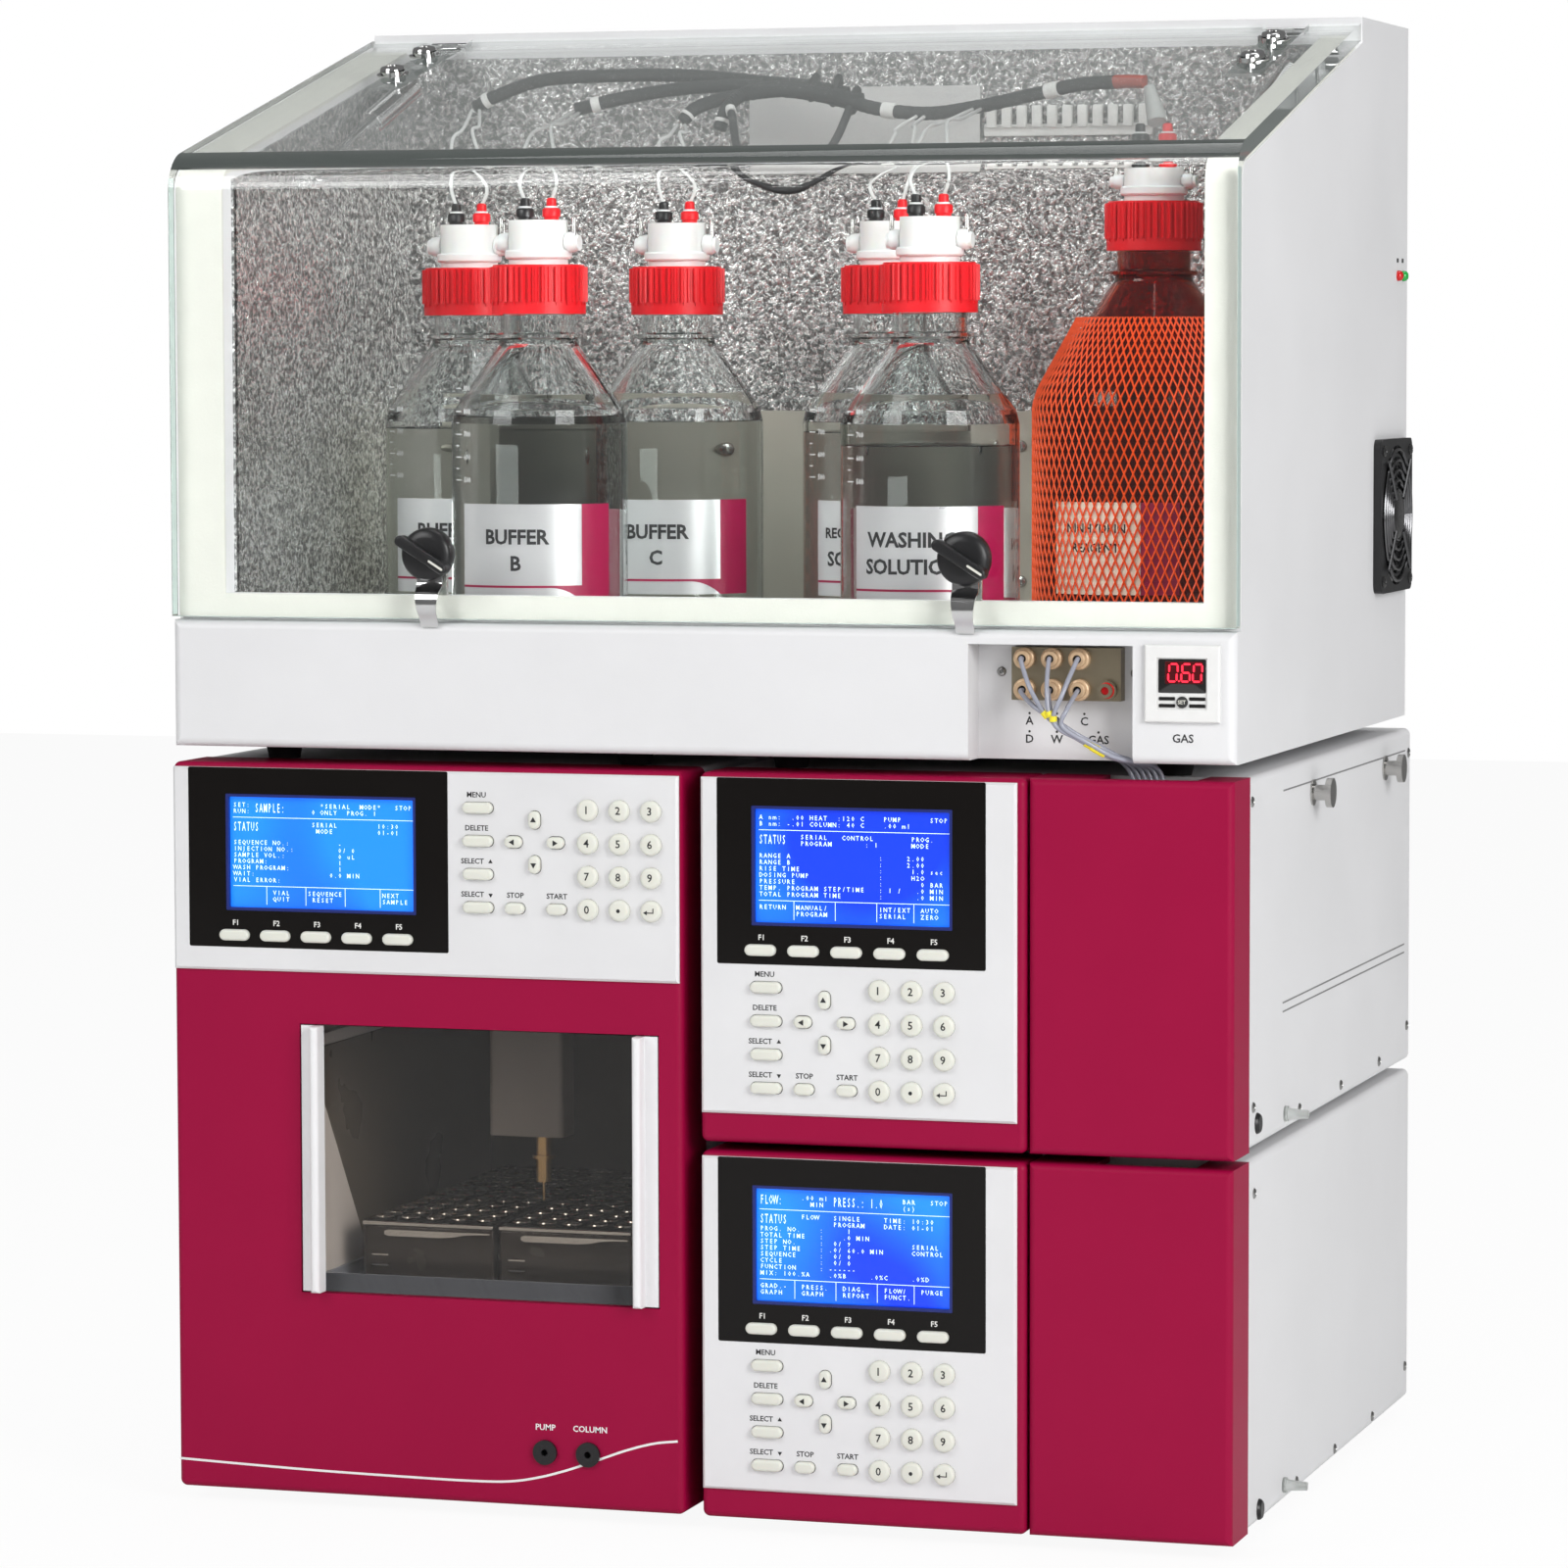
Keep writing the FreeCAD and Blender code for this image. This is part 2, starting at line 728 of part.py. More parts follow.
def drawer_side(name, outer_x, cheek_x, grip_x):
    """A folded side: front flange with a finger grip, and a triangular cheek that holds the tray."""
    flange = box(outer_x, f"{PANE_Y} - flange_thick", TRAY_Z, "flange_width - drawer_gap", "flange_thick",
                 "window_height - 2 * drawer_gap")
    grip = box(grip_x, f"{PANE_Y} - flange_thick - grip_rise", TRAY_Z, "grip_width", "grip_rise",
               "window_height - 2 * drawer_gap")
    grip = rounded(grip, size("grip_width") * 0.45, front_edges)
    cheek = side_pad(cheek_x, "cheek_thick", [
        (PANE_Y, TRAY_Z),
        (f"{PANE_Y} + cheek_reach", TRAY_Z),
        (f"{PANE_Y} + pane_thick", f"{TRAY_Z} + cheek_height"),
        (f"{PANE_Y} + pane_thick", f"{TRAY_Z} + window_height - 2 * drawer_gap"),
        (PANE_Y, f"{TRAY_Z} + window_height - 2 * drawer_gap"),
    ])
    node(name, fuse(flange, grip, cheek))


drawer_side("drawer_side_left", f"({WINDOW_X} + drawer_gap)", f"({WINDOW_X} + cheek_inset)",
            f"({WINDOW_X} + flange_width - grip_width)")
drawer_side("drawer_side_right", f"({WINDOW_X} + window_width - flange_width)",
            f"({WINDOW_X} + window_width - cheek_inset - cheek_thick)",
            f"({WINDOW_X} + window_width - flange_width)")

tray = box(f"{PANE_X} + runner_gap", TRAY_Y, TRAY_Z, f"{PANE_WIDTH} - 2 * runner_gap", "tray_depth",
           "tray_rim")
hollow = box(f"{PANE_X} + runner_gap + tray_floor", f"{TRAY_Y} + tray_floor", f"{TRAY_Z} + tray_floor",
             f"{PANE_WIDTH} - 2 * runner_gap - 2 * tray_floor", "tray_depth - 2 * tray_floor", "tray_rim")
node("drawer_tray", cut(tray, hollow))

RACK_Y = f"({TRAY_Y} + rack_front)"
RACK_Z = f"({TRAY_Z} + tray_floor)"
RACK_MIDDLE = f"({WINDOW_X} + window_width / 2)"
for name, rack_x in (("vial_rack_left", f"({RACK_MIDDLE} - rack_gap / 2 - rack_width)"),
                     ("vial_rack_right", f"({RACK_MIDDLE} + rack_gap / 2)")):
    rack = box(rack_x, RACK_Y, RACK_Z, "rack_width", "rack_depth", "rack_height")
    rack = rounded(rack, 1.2, lambda edge, bounds: along(edge, 2))
    vials = []
    for column in range(int(size("vial_columns"))):
        for line in range(int(size("vial_rows"))):
            vial = doc.addObject("Part::Prism", "vial")
            bind(vial, "Polygon", "vial_sides")
            bind(vial, "Circumradius", "vial_radius")
            bind(vial, "Height", "vial_rise + 1")
            vial_x = f"{rack_x} + rack_width / 2 + ({column} - (vial_columns - 1) / 2) * vial_column_pitch"
            vial_y = f"{RACK_Y} + rack_depth / 2 + ({line} - (vial_rows - 1) / 2) * vial_pitch"
            place(vial, vial_x, vial_y, f"{RACK_Z} + rack_height - 1")
            vials.append(vial)
    node(name, fuse(rack, *vials))

# Needle gantry: a beam on the ledges, a carriage on the beam, a needle in the carriage
NEEDLE_X = f"({RACK_MIDDLE} + rack_gap / 2 + rack_width / 2 - (vial_columns - 1) / 2 * vial_column_pitch)"
NEEDLE_Y = f"({RACK_Y} + rack_depth / 2 - ((vial_rows - 1) / 2 - needle_row) * vial_pitch)"
CARRIAGE_X = f"({NEEDLE_X} - carriage_width / 2 - needle_offset)"
CARRIAGE_Y = f"({NEEDLE_Y} - carriage_deep / 2)"
BEAM_Y = f"({CARRIAGE_Y} + carriage_deep + runner_gap)"
BEAM_Z = f"({LEDGE_TOP} + runner_gap)"
HOOK_Z = f"({BEAM_Z} + beam_tall + runner_gap)"
CARRIAGE_Z = f"({HOOK_Z} + ledge_thick - carriage_tall)"
node("needle_beam", box(f"{CHAMBER_X} + drawer_gap", BEAM_Y, BEAM_Z, f"{CHAMBER_WIDTH} - 2 * drawer_gap",
                        "beam_deep", "beam_tall"))
carriage = box(CARRIAGE_X, CARRIAGE_Y, CARRIAGE_Z, "carriage_width", "carriage_deep", "carriage_tall")
carriage = rounded(carriage, 3, lambda edge, bounds: along(edge, 2))
hook = box(CARRIAGE_X, NEEDLE_Y, HOOK_Z, "carriage_width", "carriage_deep / 2 + runner_gap + beam_deep",
           "ledge_thick")
bore = rod(NEEDLE_X, NEEDLE_Y, f"{CARRIAGE_Z} - 1", "sleeve_radius + running_gap", "sleeve_in + 2")
node("needle_carriage", cut(fuse(carriage, hook), bore))
sleeve = rod(NEEDLE_X, NEEDLE_Y, f"{CARRIAGE_Z} - sleeve_out", "sleeve_radius", "sleeve_out + sleeve_in")
collar = rod(NEEDLE_X, NEEDLE_Y, f"{CARRIAGE_Z} - sleeve_out / 2", "collar_radius", "2")
needle = rod(NEEDLE_X, NEEDLE_Y, f"{CARRIAGE_Z} - sleeve_out - needle_length", "needle_radius",
             "needle_length")
node("sample_needle", fuse(sleeve, collar, needle))


# The two modules: cover, red front with hinge lugs, and a hollow door on pivot pins
PIVOT_X = f"({SEAM} + seam_gap + pivot_inset)"
PIVOT_Y = f"({FRONT} + pivot_y)"
DOOR_X = f"({SEAM} + seam_gap)"
DOOR_WIDTH = f"({RIGHT} - {DOOR_X})"
DOOR_DEPTH = "(fascia_depth - door_back_gap)"


def lug(z):
    """A bent lug that reaches behind the door's edge to its pivot."""
    tip = rod(PIVOT_X, PIVOT_Y, z, "lug_half", "lug_tall")
    reach = box(f"{PIVOT_X} - lug_half", PIVOT_Y, z, "2 * lug_half", "lug_reach", "lug_tall")
    foot = box(f"{SEAM} - 1", f"{PIVOT_Y} + lug_reach - 2 * lug_half", z,
               f"{PIVOT_X} + lug_half - {SEAM} + 1",
               "2 * lug_half", "lug_tall")
    hole = rod(PIVOT_X, PIVOT_Y, f"{z} - 1", "pivot_radius + running_gap", "lug_tall + 2")
    return cut(fuse(tip, reach, foot), hole)


def module(name, base):
    node(f"{name}_case", unit_case(MODULE_LEFT, base, "module_width", "module_height"))
    openings = [control_panel(name, MODULE_LEFT, base, "module_height", "module")]
    lug_low = f"({base} + door_wall + lug_gap)"
    lug_high = f"({base} + module_height - door_wall - lug_gap - lug_tall)"
    front = fascia(MODULE_LEFT, base, "seam_x", "module_height", *openings)
    node(f"{name}_fascia", fuse(front, lug(lug_low), lug(lug_high)))

    shell = box(DOOR_X, FRONT, base, DOOR_WIDTH, DOOR_DEPTH, "module_height")
    shell = rounded(shell, size("fascia_radius"), front_edges)
    hollow = box(f"{DOOR_X} - 1", f"{FRONT} + door_wall", f"{base} + door_wall",
                 f"{DOOR_WIDTH} - door_wall + 1",
                 "fascia_depth", "module_height - 2 * door_wall")
    skirt_cut = side_notch(f"({base} + module_height)")
    pins = []
    for pin_z in (f"{base} + door_wall - 1", f"{lug_high} + running_gap"):
        pins.append(rod(PIVOT_X, PIVOT_Y, pin_z, "pivot_radius", "lug_tall + lug_gap + 1 - running_gap"))
    node(f"{name}_door", fuse(cut(shell, hollow, skirt_cut), *pins))


def side_notch(top):
    """The cut in the middle of a door's top wall, where tubes pass."""
    return box(f"{DOOR_X} + skirt_left", f"{FRONT} + skirt_front", f"{top} - door_wall - 1",
               f"{DOOR_WIDTH} - skirt_left - skirt_right", "fascia_depth", "door_wall + 2")


module("reaction", MIDDLE)
module("pump", LOW)

# Behind the doors: two pump heads below, a packed column above
heads = []
for number in range(2):
    head_x = f"({SEAM} + seam_gap + head_x)"
    head_z = f"({LOW} + head_low_z + {number} * head_pitch)"
    block = rod(head_x, f"{FASCIA_BACK} - head_length", head_z, "head_radius", "head_length", "Y")
    valve_y = f"{FASCIA_BACK} - head_length / 2"
    valve = rod(head_x, valve_y, f"{head_z} - head_radius - valve_length", "valve_radius",
                "2 * head_radius + 2 * valve_length")
    heads.append(fuse(block, valve))
node("pump_heads", group(*heads))

column_x = f"({SEAM} + column_x)"
column_y = f"({FASCIA_BACK} - column_stand)"
column_z = f"({MIDDLE} + column_z)"
tube = rod(column_x, column_y, column_z, "column_radius", "column_length")
column = [tube]
for end_z in (f"{column_z} - column_end", f"{column_z} + column_length"):
    column.append(rod(column_x, column_y, end_z, "column_radius + 2", "column_end"))
    column.append(box(f"{column_x} - column_radius / 2", column_y, end_z, "column_radius", "column_stand",
                      "column_end"))
node("reaction_column", fuse(*column))

# Right side of the modules: two hanger posts and two drain nozzles
posts = []
for number in range(2):
    post_y = f"({FRONT} + post_y + {number} * post_pitch)"
    post_z = f"({MIDDLE} + module_height - post_drop)"
    side_x = f"({RIGHT} - case_inset)"
    shank = rod(side_x, post_y, post_z, "post_radius", "post_length + case_inset", "X")
    washer = rod(side_x, post_y, post_z, "post_head - 1", "1", "X")
    head = rod(f"{RIGHT} + post_length", post_y, post_z, "post_head", "post_head_thick", "X")
    posts.append(fuse(shank, washer, head))
node("hanger_posts", group(*posts))
drains = []
for base in (MIDDLE, LOW):
    drain_z = f"({base} + case_radius + drain_z)"
    flange = rod(f"{RIGHT} - case_inset", f"{FRONT} + drain_y", drain_z, "drain_radius + 1", "2", "X")
    nozzle = taper(f"{RIGHT} - case_inset", f"{FRONT} + drain_y", drain_z, "drain_radius",
                   "drain_radius - 1",
                   "drain_length + case_inset", "X")
    bore = rod(f"{RIGHT} + drain_length / 2", f"{FRONT} + drain_y", drain_z, "drain_radius / 3",
               "drain_length", "X")
    drains.append(cut(fuse(flange, nozzle), bore))
node("drain_nozzles", group(*drains))


# Feet: four under each unit on the bench, four between the modules, eight under the cabinet
def foot(x, y, z, height):
    return taper(x, y, z, "foot_radius - foot_taper", "foot_radius", height)


feet = []
near_y = f"({FRONT} + foot_inset_y)"
far_y = f"({FRONT} + cabinet_depth - foot_inset_y)"
left_unit = (f"({LEFT} + foot_inset_x)", f"({LEFT} + injector_width - foot_inset_x)")
right_unit = (f"({MODULE_LEFT} + foot_inset_x)", f"({RIGHT} - foot_inset_x)")
for foot_x in left_unit + right_unit:
    for foot_y in (near_y, far_y):
        feet.append(foot(foot_x, f"({foot_y} + foot_radius)", "0", f"{LOW} + case_inset"))
for foot_x in right_unit:
    for foot_y in (near_y, far_y):
        feet.append(foot(foot_x, f"({foot_y} + foot_radius)", f"{MIDDLE} - module_gap - case_inset",
                         "module_gap + 2 * case_inset"))
cabinet_feet = (f"({LEFT} + cabinet_foot_x)", f"({LEFT} + injector_width - cabinet_foot_x)",
                f"({MODULE_LEFT} + cabinet_foot_inner)", f"({RIGHT} - cabinet_foot_x)")
for foot_x in cabinet_feet:
    for foot_y in (near_y, far_y):
        feet.append(foot(foot_x, f"({foot_y} + foot_radius)", f"{STACK_TOP} - case_inset",
                         "stack_gap + case_inset"))
node("rubber_feet", group(*feet))


# Reagent cabinet: side outline, and lines parallel to its slope
def slope_z(y, lift):
    """Height of the line that runs parallel to the side's slope, lifted square to it."""
    return f"({EDGE_Z} + ({y} - {EDGE_Y}) * {SLOPE} + ({lift}) * {LEAN})"


BACK_Y = f"({FRONT} + cabinet_depth)"
BASE_TOP = f"({CABINET_Z} + base_height)"
SILL_Z = f"({CABINET_Z} + sill_height)"
SILL_BACK = f"({EDGE_Y} + sill_thick)"
CAVITY_BACK = f"({FRONT} + cavity_back)"



def under_bend(edge, bounds):
    """The long edge where the front meets the slope."""
    foremost = edge.BoundBox.YMax < bounds.YMin + size("hood_wall") + size("hood_gap") + 1e-3
    return along(edge, 0) and foremost and edge.BoundBox.ZMin > bounds.ZMin + size("edge_height") / 2


body = side_pad(CABINET_X, "cabinet_width", [
    (FRONT, CABINET_Z),
    (BACK_Y, CABINET_Z),
    (BACK_Y, CABINET_TOP),
    (STEP_Y, CABINET_TOP),
    (STEP_Y, slope_z(STEP_Y, "0")),
    (EDGE_Y, EDGE_Z),
    (EDGE_Y, BASE_TOP),
    (FRONT, BASE_TOP),
])
body = rounded(body, size("base_radius"), lambda edge, bounds: edge.BoundBox.YMax < bounds.YMin + 1e-3
               and edge.BoundBox.ZMax < bounds.ZMin + size("base_height") + 1)
body = rounded(body, size("hood_bend") - size("hood_wall") - size("hood_gap"), under_bend)
upper = box(CAVITY_X, f"{FRONT} - 1", SILL_Z, CAVITY_WIDTH, f"{CAVITY_BACK} - {FRONT} + 1", "cabinet_height")
lower = box(CAVITY_X, SILL_BACK, CAVITY_Z, CAVITY_WIDTH, f"{CAVITY_BACK} - {SILL_BACK}", "cabinet_height")

RECESS_X = f"({LEFT} + recess_x)"
recess = box(RECESS_X, f"{FRONT} - 1", f"{CABINET_Z} - 1", "recess_width", "recess_depth + 1",
             "base_height - recess_top + 1")
meter_hole = box(f"{LEFT} + meter_x + (meter_side - meter_body) / 2 - key_gap", f"{FRONT} - 1",
                 f"{CABINET_Z} + meter_z + (meter_side - meter_body) / 2 - key_gap",
                 "meter_body + 2 * key_gap", "meter_depth + 1", "meter_body + 2 * key_gap")
FAN_Y = f"({FRONT} + fan_y)"
FAN_Z = f"({CABINET_Z} + fan_z)"
WELL_X = f"({CABINET_RIGHT} - fan_well)"
well = rod(WELL_X, FAN_Y, FAN_Z, "fan_bore", "fan_well + 1", "X")
spindle = rod(f"{WELL_X} - 1", FAN_Y, FAN_Z, "spindle_radius", "rotor_thick", "X")
housing = cut(body, upper, lower, recess, meter_hole, well,
              *back_cuts(CABINET_X, f"({CABINET_Z} + base_height)", BACK_Y))
node("cabinet_housing", fuse(housing, spindle))

# Lining: a foil tray in the cavity, its sides cut to the slope
lining = side_pad(CAVITY_X, CAVITY_WIDTH, [
    (SILL_BACK, CAVITY_Z),
    (CAVITY_BACK, CAVITY_Z),
    (CAVITY_BACK, slope_z(CAVITY_BACK, "-lining_drop")),
    (SILL_BACK, slope_z(SILL_BACK, "-lining_drop")),
])
inside = box(f"{CAVITY_X} + lining_thick", f"{SILL_BACK} + lining_thick", FLOOR_Z,
             f"{CAVITY_WIDTH} - 2 * lining_thick", f"{CAVITY_BACK} - {SILL_BACK} - 2 * lining_thick",
             "cabinet_height")
over_sill = box(CAVITY_X, f"{SILL_BACK} - 1", SILL_Z, CAVITY_WIDTH, "lining_thick + 2", "cabinet_height")
middle_of_front = box(f"{CAVITY_X} + lining_thick", f"{SILL_BACK} - 1", f"{SILL_Z} - 1",
                      f"{CAVITY_WIDTH} - 2 * lining_thick", "lining_thick + 2", "cabinet_height")
node("cabinet_lining", cut(lining, inside, middle_of_front))
node("cold_plate", box(f"{CAVITY_X} + plate_side", f"{CAVITY_BACK} - 2 * lining_thick", FLOOR_Z,
                       f"{CAVITY_WIDTH} - 2 * plate_side", "lining_thick", "plate_height"))

# Hood: one bent sheet of clear plastic, notched at its hinges
HOOD_END = f"({HINGE_Y} + 2)"
HOOD_Z = f"({BASE_TOP} + hood_gap)"
hood_back = f"({FRONT} + hood_wall)"
hood = side_pad(CABINET_X, "cabinet_width", [
    (FRONT, HOOD_Z),
    (hood_back, HOOD_Z),
    (hood_back, slope_z(hood_back, "hood_gap")),
    (HOOD_END, slope_z(HOOD_END, "hood_gap")),
    (HOOD_END, slope_z(HOOD_END, "hood_gap + hood_wall")),
    (FRONT, slope_z(FRONT, "hood_gap + hood_wall")),
])


def bend(edge, bounds):
    """The two long edges at the bend between the front and the slope."""
    long = along(edge, 0) and edge.Length > bounds.XLength - 1
    at_bend = edge.BoundBox.YMax < bounds.YMin + size("hood_wall") + 1
    return long and at_bend and edge.BoundBox.ZMin > bounds.ZMin + 1


hood = rounded(hood, size("hood_bend"), lambda edge,
               bounds: bend(edge, bounds) and edge.BoundBox.YMax < bounds.YMin + 1)
hood = rounded(hood, size("hood_bend") - size("hood_wall"), lambda edge, bounds: bend(edge, bounds)
               and edge.BoundBox.YMin > bounds.YMin + size("hood_wall") - 1)

lean = FreeCAD.Rotation(FreeCAD.Vector(1, 0, 0),
                        math.degrees(math.atan2(size("slope_rise"), size("slope_run"))))
HINGES = (f"({CAVITY_X} + hinge_inset)", f"({CAVITY_X} + {CAVITY_WIDTH} - hinge_inset)")
notches = []
screw_holes = []
arms = []
brackets = []
for hinge_x in HINGES:
    notches.append(box(f"{hinge_x} - notch_width / 2", f"{HOOD_END} - notch_depth", EDGE_Z, "notch_width",
                       "notch_depth + 1", "cabinet_height"))
    plate_y = f"({FRONT} + arm_front)"
    plate_end = f"({HINGE_Y} - 1)"
    plate = side_pad(f"{hinge_x} - arm_width / 2", "arm_width", [
        (plate_y, slope_z(plate_y, "hood_gap - running_gap")),
        (plate_y, slope_z(plate_y, "hood_gap - running_gap - arm_thick")),
        (plate_end, slope_z(plate_end, "hood_gap - running_gap - arm_thick")),
        (plate_end, slope_z(plate_end, "hood_gap - running_gap")),
    ])
    riser = box(f"{hinge_x} - knuckle_width / 2", f"{HINGE_Y} - knuckle_radius",
                f"{HINGE_Z} - hood_wall / 2 - arm_thick",
                "knuckle_width", "knuckle_radius", "hood_wall / 2 + arm_thick")
    knuckle = rod(f"{hinge_x} - knuckle_width / 2", HINGE_Y, HINGE_Z, "knuckle_radius", "knuckle_width", "X")
    pin_hole = rod(f"{hinge_x} - notch_width", HINGE_Y, HINGE_Z, "hinge_pin + running_gap",
                   "2 * notch_width", "X")
    screws = []
    for number in range(2):
        screw_y = f"({FRONT} + screw_front + {number} * screw_pitch)"
        stem = "(hood_wall + arm_thick)"
        screws.append(rod(hinge_x, screw_y, slope_z(screw_y, "hood_gap - arm_thick"), "screw_radius",
                          f"{stem} + 1", lean))
        top_y = f"({screw_y} - (hood_wall + hood_gap) * {SLOPE} / {LEAN})"
        screws.append(rod(hinge_x, top_y, slope_z(top_y, "hood_gap + hood_wall"), "screw_head",
                          "screw_head_thick", lean))
        screw_holes.append(rod(hinge_x, screw_y, slope_z(screw_y, "0"), "screw_radius + key_gap / 2",
                               "hood_wall + 3 * hood_gap", lean))
    arms.append(cut(fuse(plate, riser, knuckle, *screws), pin_hole))
    sides = []
    for side_x in (f"({hinge_x} - notch_width / 2 + 1)",
                   f"({hinge_x} + knuckle_width / 2 + running_gap + 0.5)"):
        wide = "(notch_width / 2 - knuckle_width / 2 - running_gap - 1.5)"
        sides.append(rod(side_x, HINGE_Y, HINGE_Z, "knuckle_radius", wide, "X"))
        sides.append(box(side_x, HINGE_Y, f"{HINGE_Z} - knuckle_radius", wide, f"{STEP_Y} - {HINGE_Y}",
                         "knuckle_radius"))
    pin = rod(f"{hinge_x} - notch_width / 2 + 1", HINGE_Y, HINGE_Z, "hinge_pin", "notch_width - 2", "X")
    brackets.append(fuse(*sides, pin))
latch_holes = []
LATCH_Z = f"({CABINET_Z} + latch_z)"
for number in range(2):
    latch_x = f"({LEFT} + latch_x + {number} * latch_pitch)"
    latch_holes.append(rod(latch_x, f"{FRONT} - 1", LATCH_Z, "latch_shaft + running_gap", "hood_wall + 2",
                           "Y"))
node("hood", cut(hood, *notches, *screw_holes, *latch_holes))

# Seal: a soft band on the sill and the side edges, under the hood
band = side_pad(f"({CABINET_X} + 1)", "cabinet_width - 2", [
    (EDGE_Y, HOOD_Z),
    (EDGE_Y, EDGE_Z),
    (f"({HOOD_END} - notch_depth - 2)", slope_z(f"({HOOD_END} - notch_depth - 2)", "0")),
    (f"({HOOD_END} - notch_depth - 2)", slope_z(f"({HOOD_END} - notch_depth - 2)", "seal_thick")),
    (f"({EDGE_Y} - seal_thick)", slope_z(f"({EDGE_Y} - seal_thick)", "seal_thick")),
    (f"({EDGE_Y} - seal_thick)", HOOD_Z),
])
round_under = size("hood_bend") - size("hood_wall") - size("hood_gap")
band = rounded(band, round_under, lambda edge,
               bounds: under_bend(edge, bounds) and edge.BoundBox.YMin > bounds.YMin + 1)
band = rounded(band, round_under + size("seal_thick"), lambda edge, bounds: along(edge, 0)
               and edge.BoundBox.YMax < bounds.YMin + 1e-3 and edge.BoundBox.ZMin > bounds.ZMin + 100)
band_hole = box(CAVITY_X, f"{FRONT} - 1", SILL_Z, CAVITY_WIDTH, "cabinet_depth", "cabinet_height")
node("hood_seal", cut(band, band_hole))

# Springs that balance the hood: a rod pinned to the wall slides in a coiled sleeve pinned to the arm
spring_run = size("spring_back_y") - size("spring_front_y")
spring_rise = size("spring_back_z") - size("spring_front_z")
spring_length = math.hypot(spring_run, spring_rise)
tilt = FreeCAD.Rotation(FreeCAD.Vector(1, 0, 0), math.degrees(math.atan2(spring_rise, spring_run)) - 90)
LOW_PIN = (f"({FRONT} + spring_front_y)", f"({CABINET_Z} + spring_front_z)")
HIGH_PIN = (f"({FRONT} + spring_back_y)", f"({CABINET_Z} + spring_back_z)")


def eye(x, pin):
    """The ring at a spring's end."""
    return rod(f"{x} - eye_width / 2", *pin, "eye_radius", "eye_width", "X")


def eye_hole(x, pin):
    return rod(f"{x} - eye_width", *pin, "hinge_pin + running_gap", "2 * eye_width", "X")


def pin_through(x, pin, side):
    """A pin from a lug on one side of a spring's end through its eye."""
    start = f"{x} - eye_width / 2 - 1" if side > 0 else f"{x} - eye_width / 2 - lug_gap - 1"
    return rod(start, *pin, "hinge_pin", "eye_width + lug_gap + 2", "X")


def partway(distance):
    """The point on a spring's axis at some distance from its lower pin."""
    share = f"({distance}) / {spring_length}"
    return [f"({low} + ({high} - {low}) * {share})" for low, high in zip(LOW_PIN, HIGH_PIN)]


def beside(distance, across):
    """The point at some distance from the lower pin and some way above the spring's axis."""
    y, z = partway(distance)
    back = f"({across}) * {spring_rise / spring_length}"
    up = f"({across}) * {spring_run / spring_length}"
    return f"({y} - {back})", f"({z} + {up})"


def link(x, wide, edge):
    """A long plate about the upper pin, some way larger than the pin's free play all round."""
    near = f"({spring_length} - slot_run - {edge})"
    far = f"({spring_length} + {edge})"
    plate = side_pad(f"({x} - {wide} / 2)", wide, [
        beside(near, f"-({edge})"), beside(far, f"-({edge})"),
        beside(far, f"slot_rise + {edge}"), beside(near, f"slot_rise + {edge}"),
    ])
    return rounded(plate, 1.2, lambda one, bounds: along(one, 0))


rods = []
sleeves = []
LINK_BACK = "(slot_run + 1.5 * eye_radius)"
for index, (wall_x, side) in enumerate(((f"({CAVITY_X} + lining_thick)", 1),
                                        (f"({CAVITY_X} + {CAVITY_WIDTH} - lining_thick)", -1))):
    spring_x = f"({wall_x} + {side} * spring_inset)"
    bar = rod(spring_x, *LOW_PIN, "rod_radius", f"{spring_length} - coil_length + rod_overlap", tilt)
    rods.append(cut(fuse(bar, eye(spring_x, LOW_PIN)), eye_hole(spring_x, LOW_PIN)))
    coil_at = partway(f"{spring_length} - coil_length")
    coil = rod(spring_x, *coil_at, "coil_radius", f"coil_length - {LINK_BACK} - eye_radius / 2", tilt)
    neck = rod(spring_x, *partway(f"{spring_length} - {LINK_BACK} - eye_radius"), "eye_width * 0.4",
               "eye_radius * 1.3", tilt)
    coil_bore = rod(spring_x, *partway(f"{spring_length} - coil_length - 1"), "rod_radius + running_gap",
                    f"coil_length - {LINK_BACK} - 1.5 * eye_radius", tilt)
    slot = link(spring_x, "2 * eye_width", "(hinge_pin + running_gap)")
    sleeves.append(cut(fuse(coil, neck, link(spring_x, "eye_width", "eye_radius")), slot, coil_bore))
    reach = "(spring_inset - rod_radius - lug_gap)"
    bracket_x = wall_x if side > 0 else f"({wall_x} - {reach})"
    bracket = box(bracket_x, f"{LOW_PIN[0]} - 7", f"{LOW_PIN[1]} - 7", reach, "14", "14")
    brackets.append(fuse(bracket, pin_through(spring_x, LOW_PIN, -side)))
    lug_x = f"({spring_x} + {side} * (eye_width / 2 + lug_gap + arm_thick / 2) - arm_thick / 2)"
    drop = box(lug_x, f"{HIGH_PIN[0]} - 5", f"{HIGH_PIN[1]} - 5", "arm_thick", "10",
               f"{slope_z(HIGH_PIN[0], 'hood_gap - running_gap')} - {HIGH_PIN[1]} + 3")
    arms[index] = fuse(arms[index], drop, pin_through(spring_x, HIGH_PIN, side))
node("hinge_arms", group(*arms))
node("hinge_brackets", group(*brackets))
node("spring_rods", group(*rods))
node("spring_sleeves", group(*sleeves))

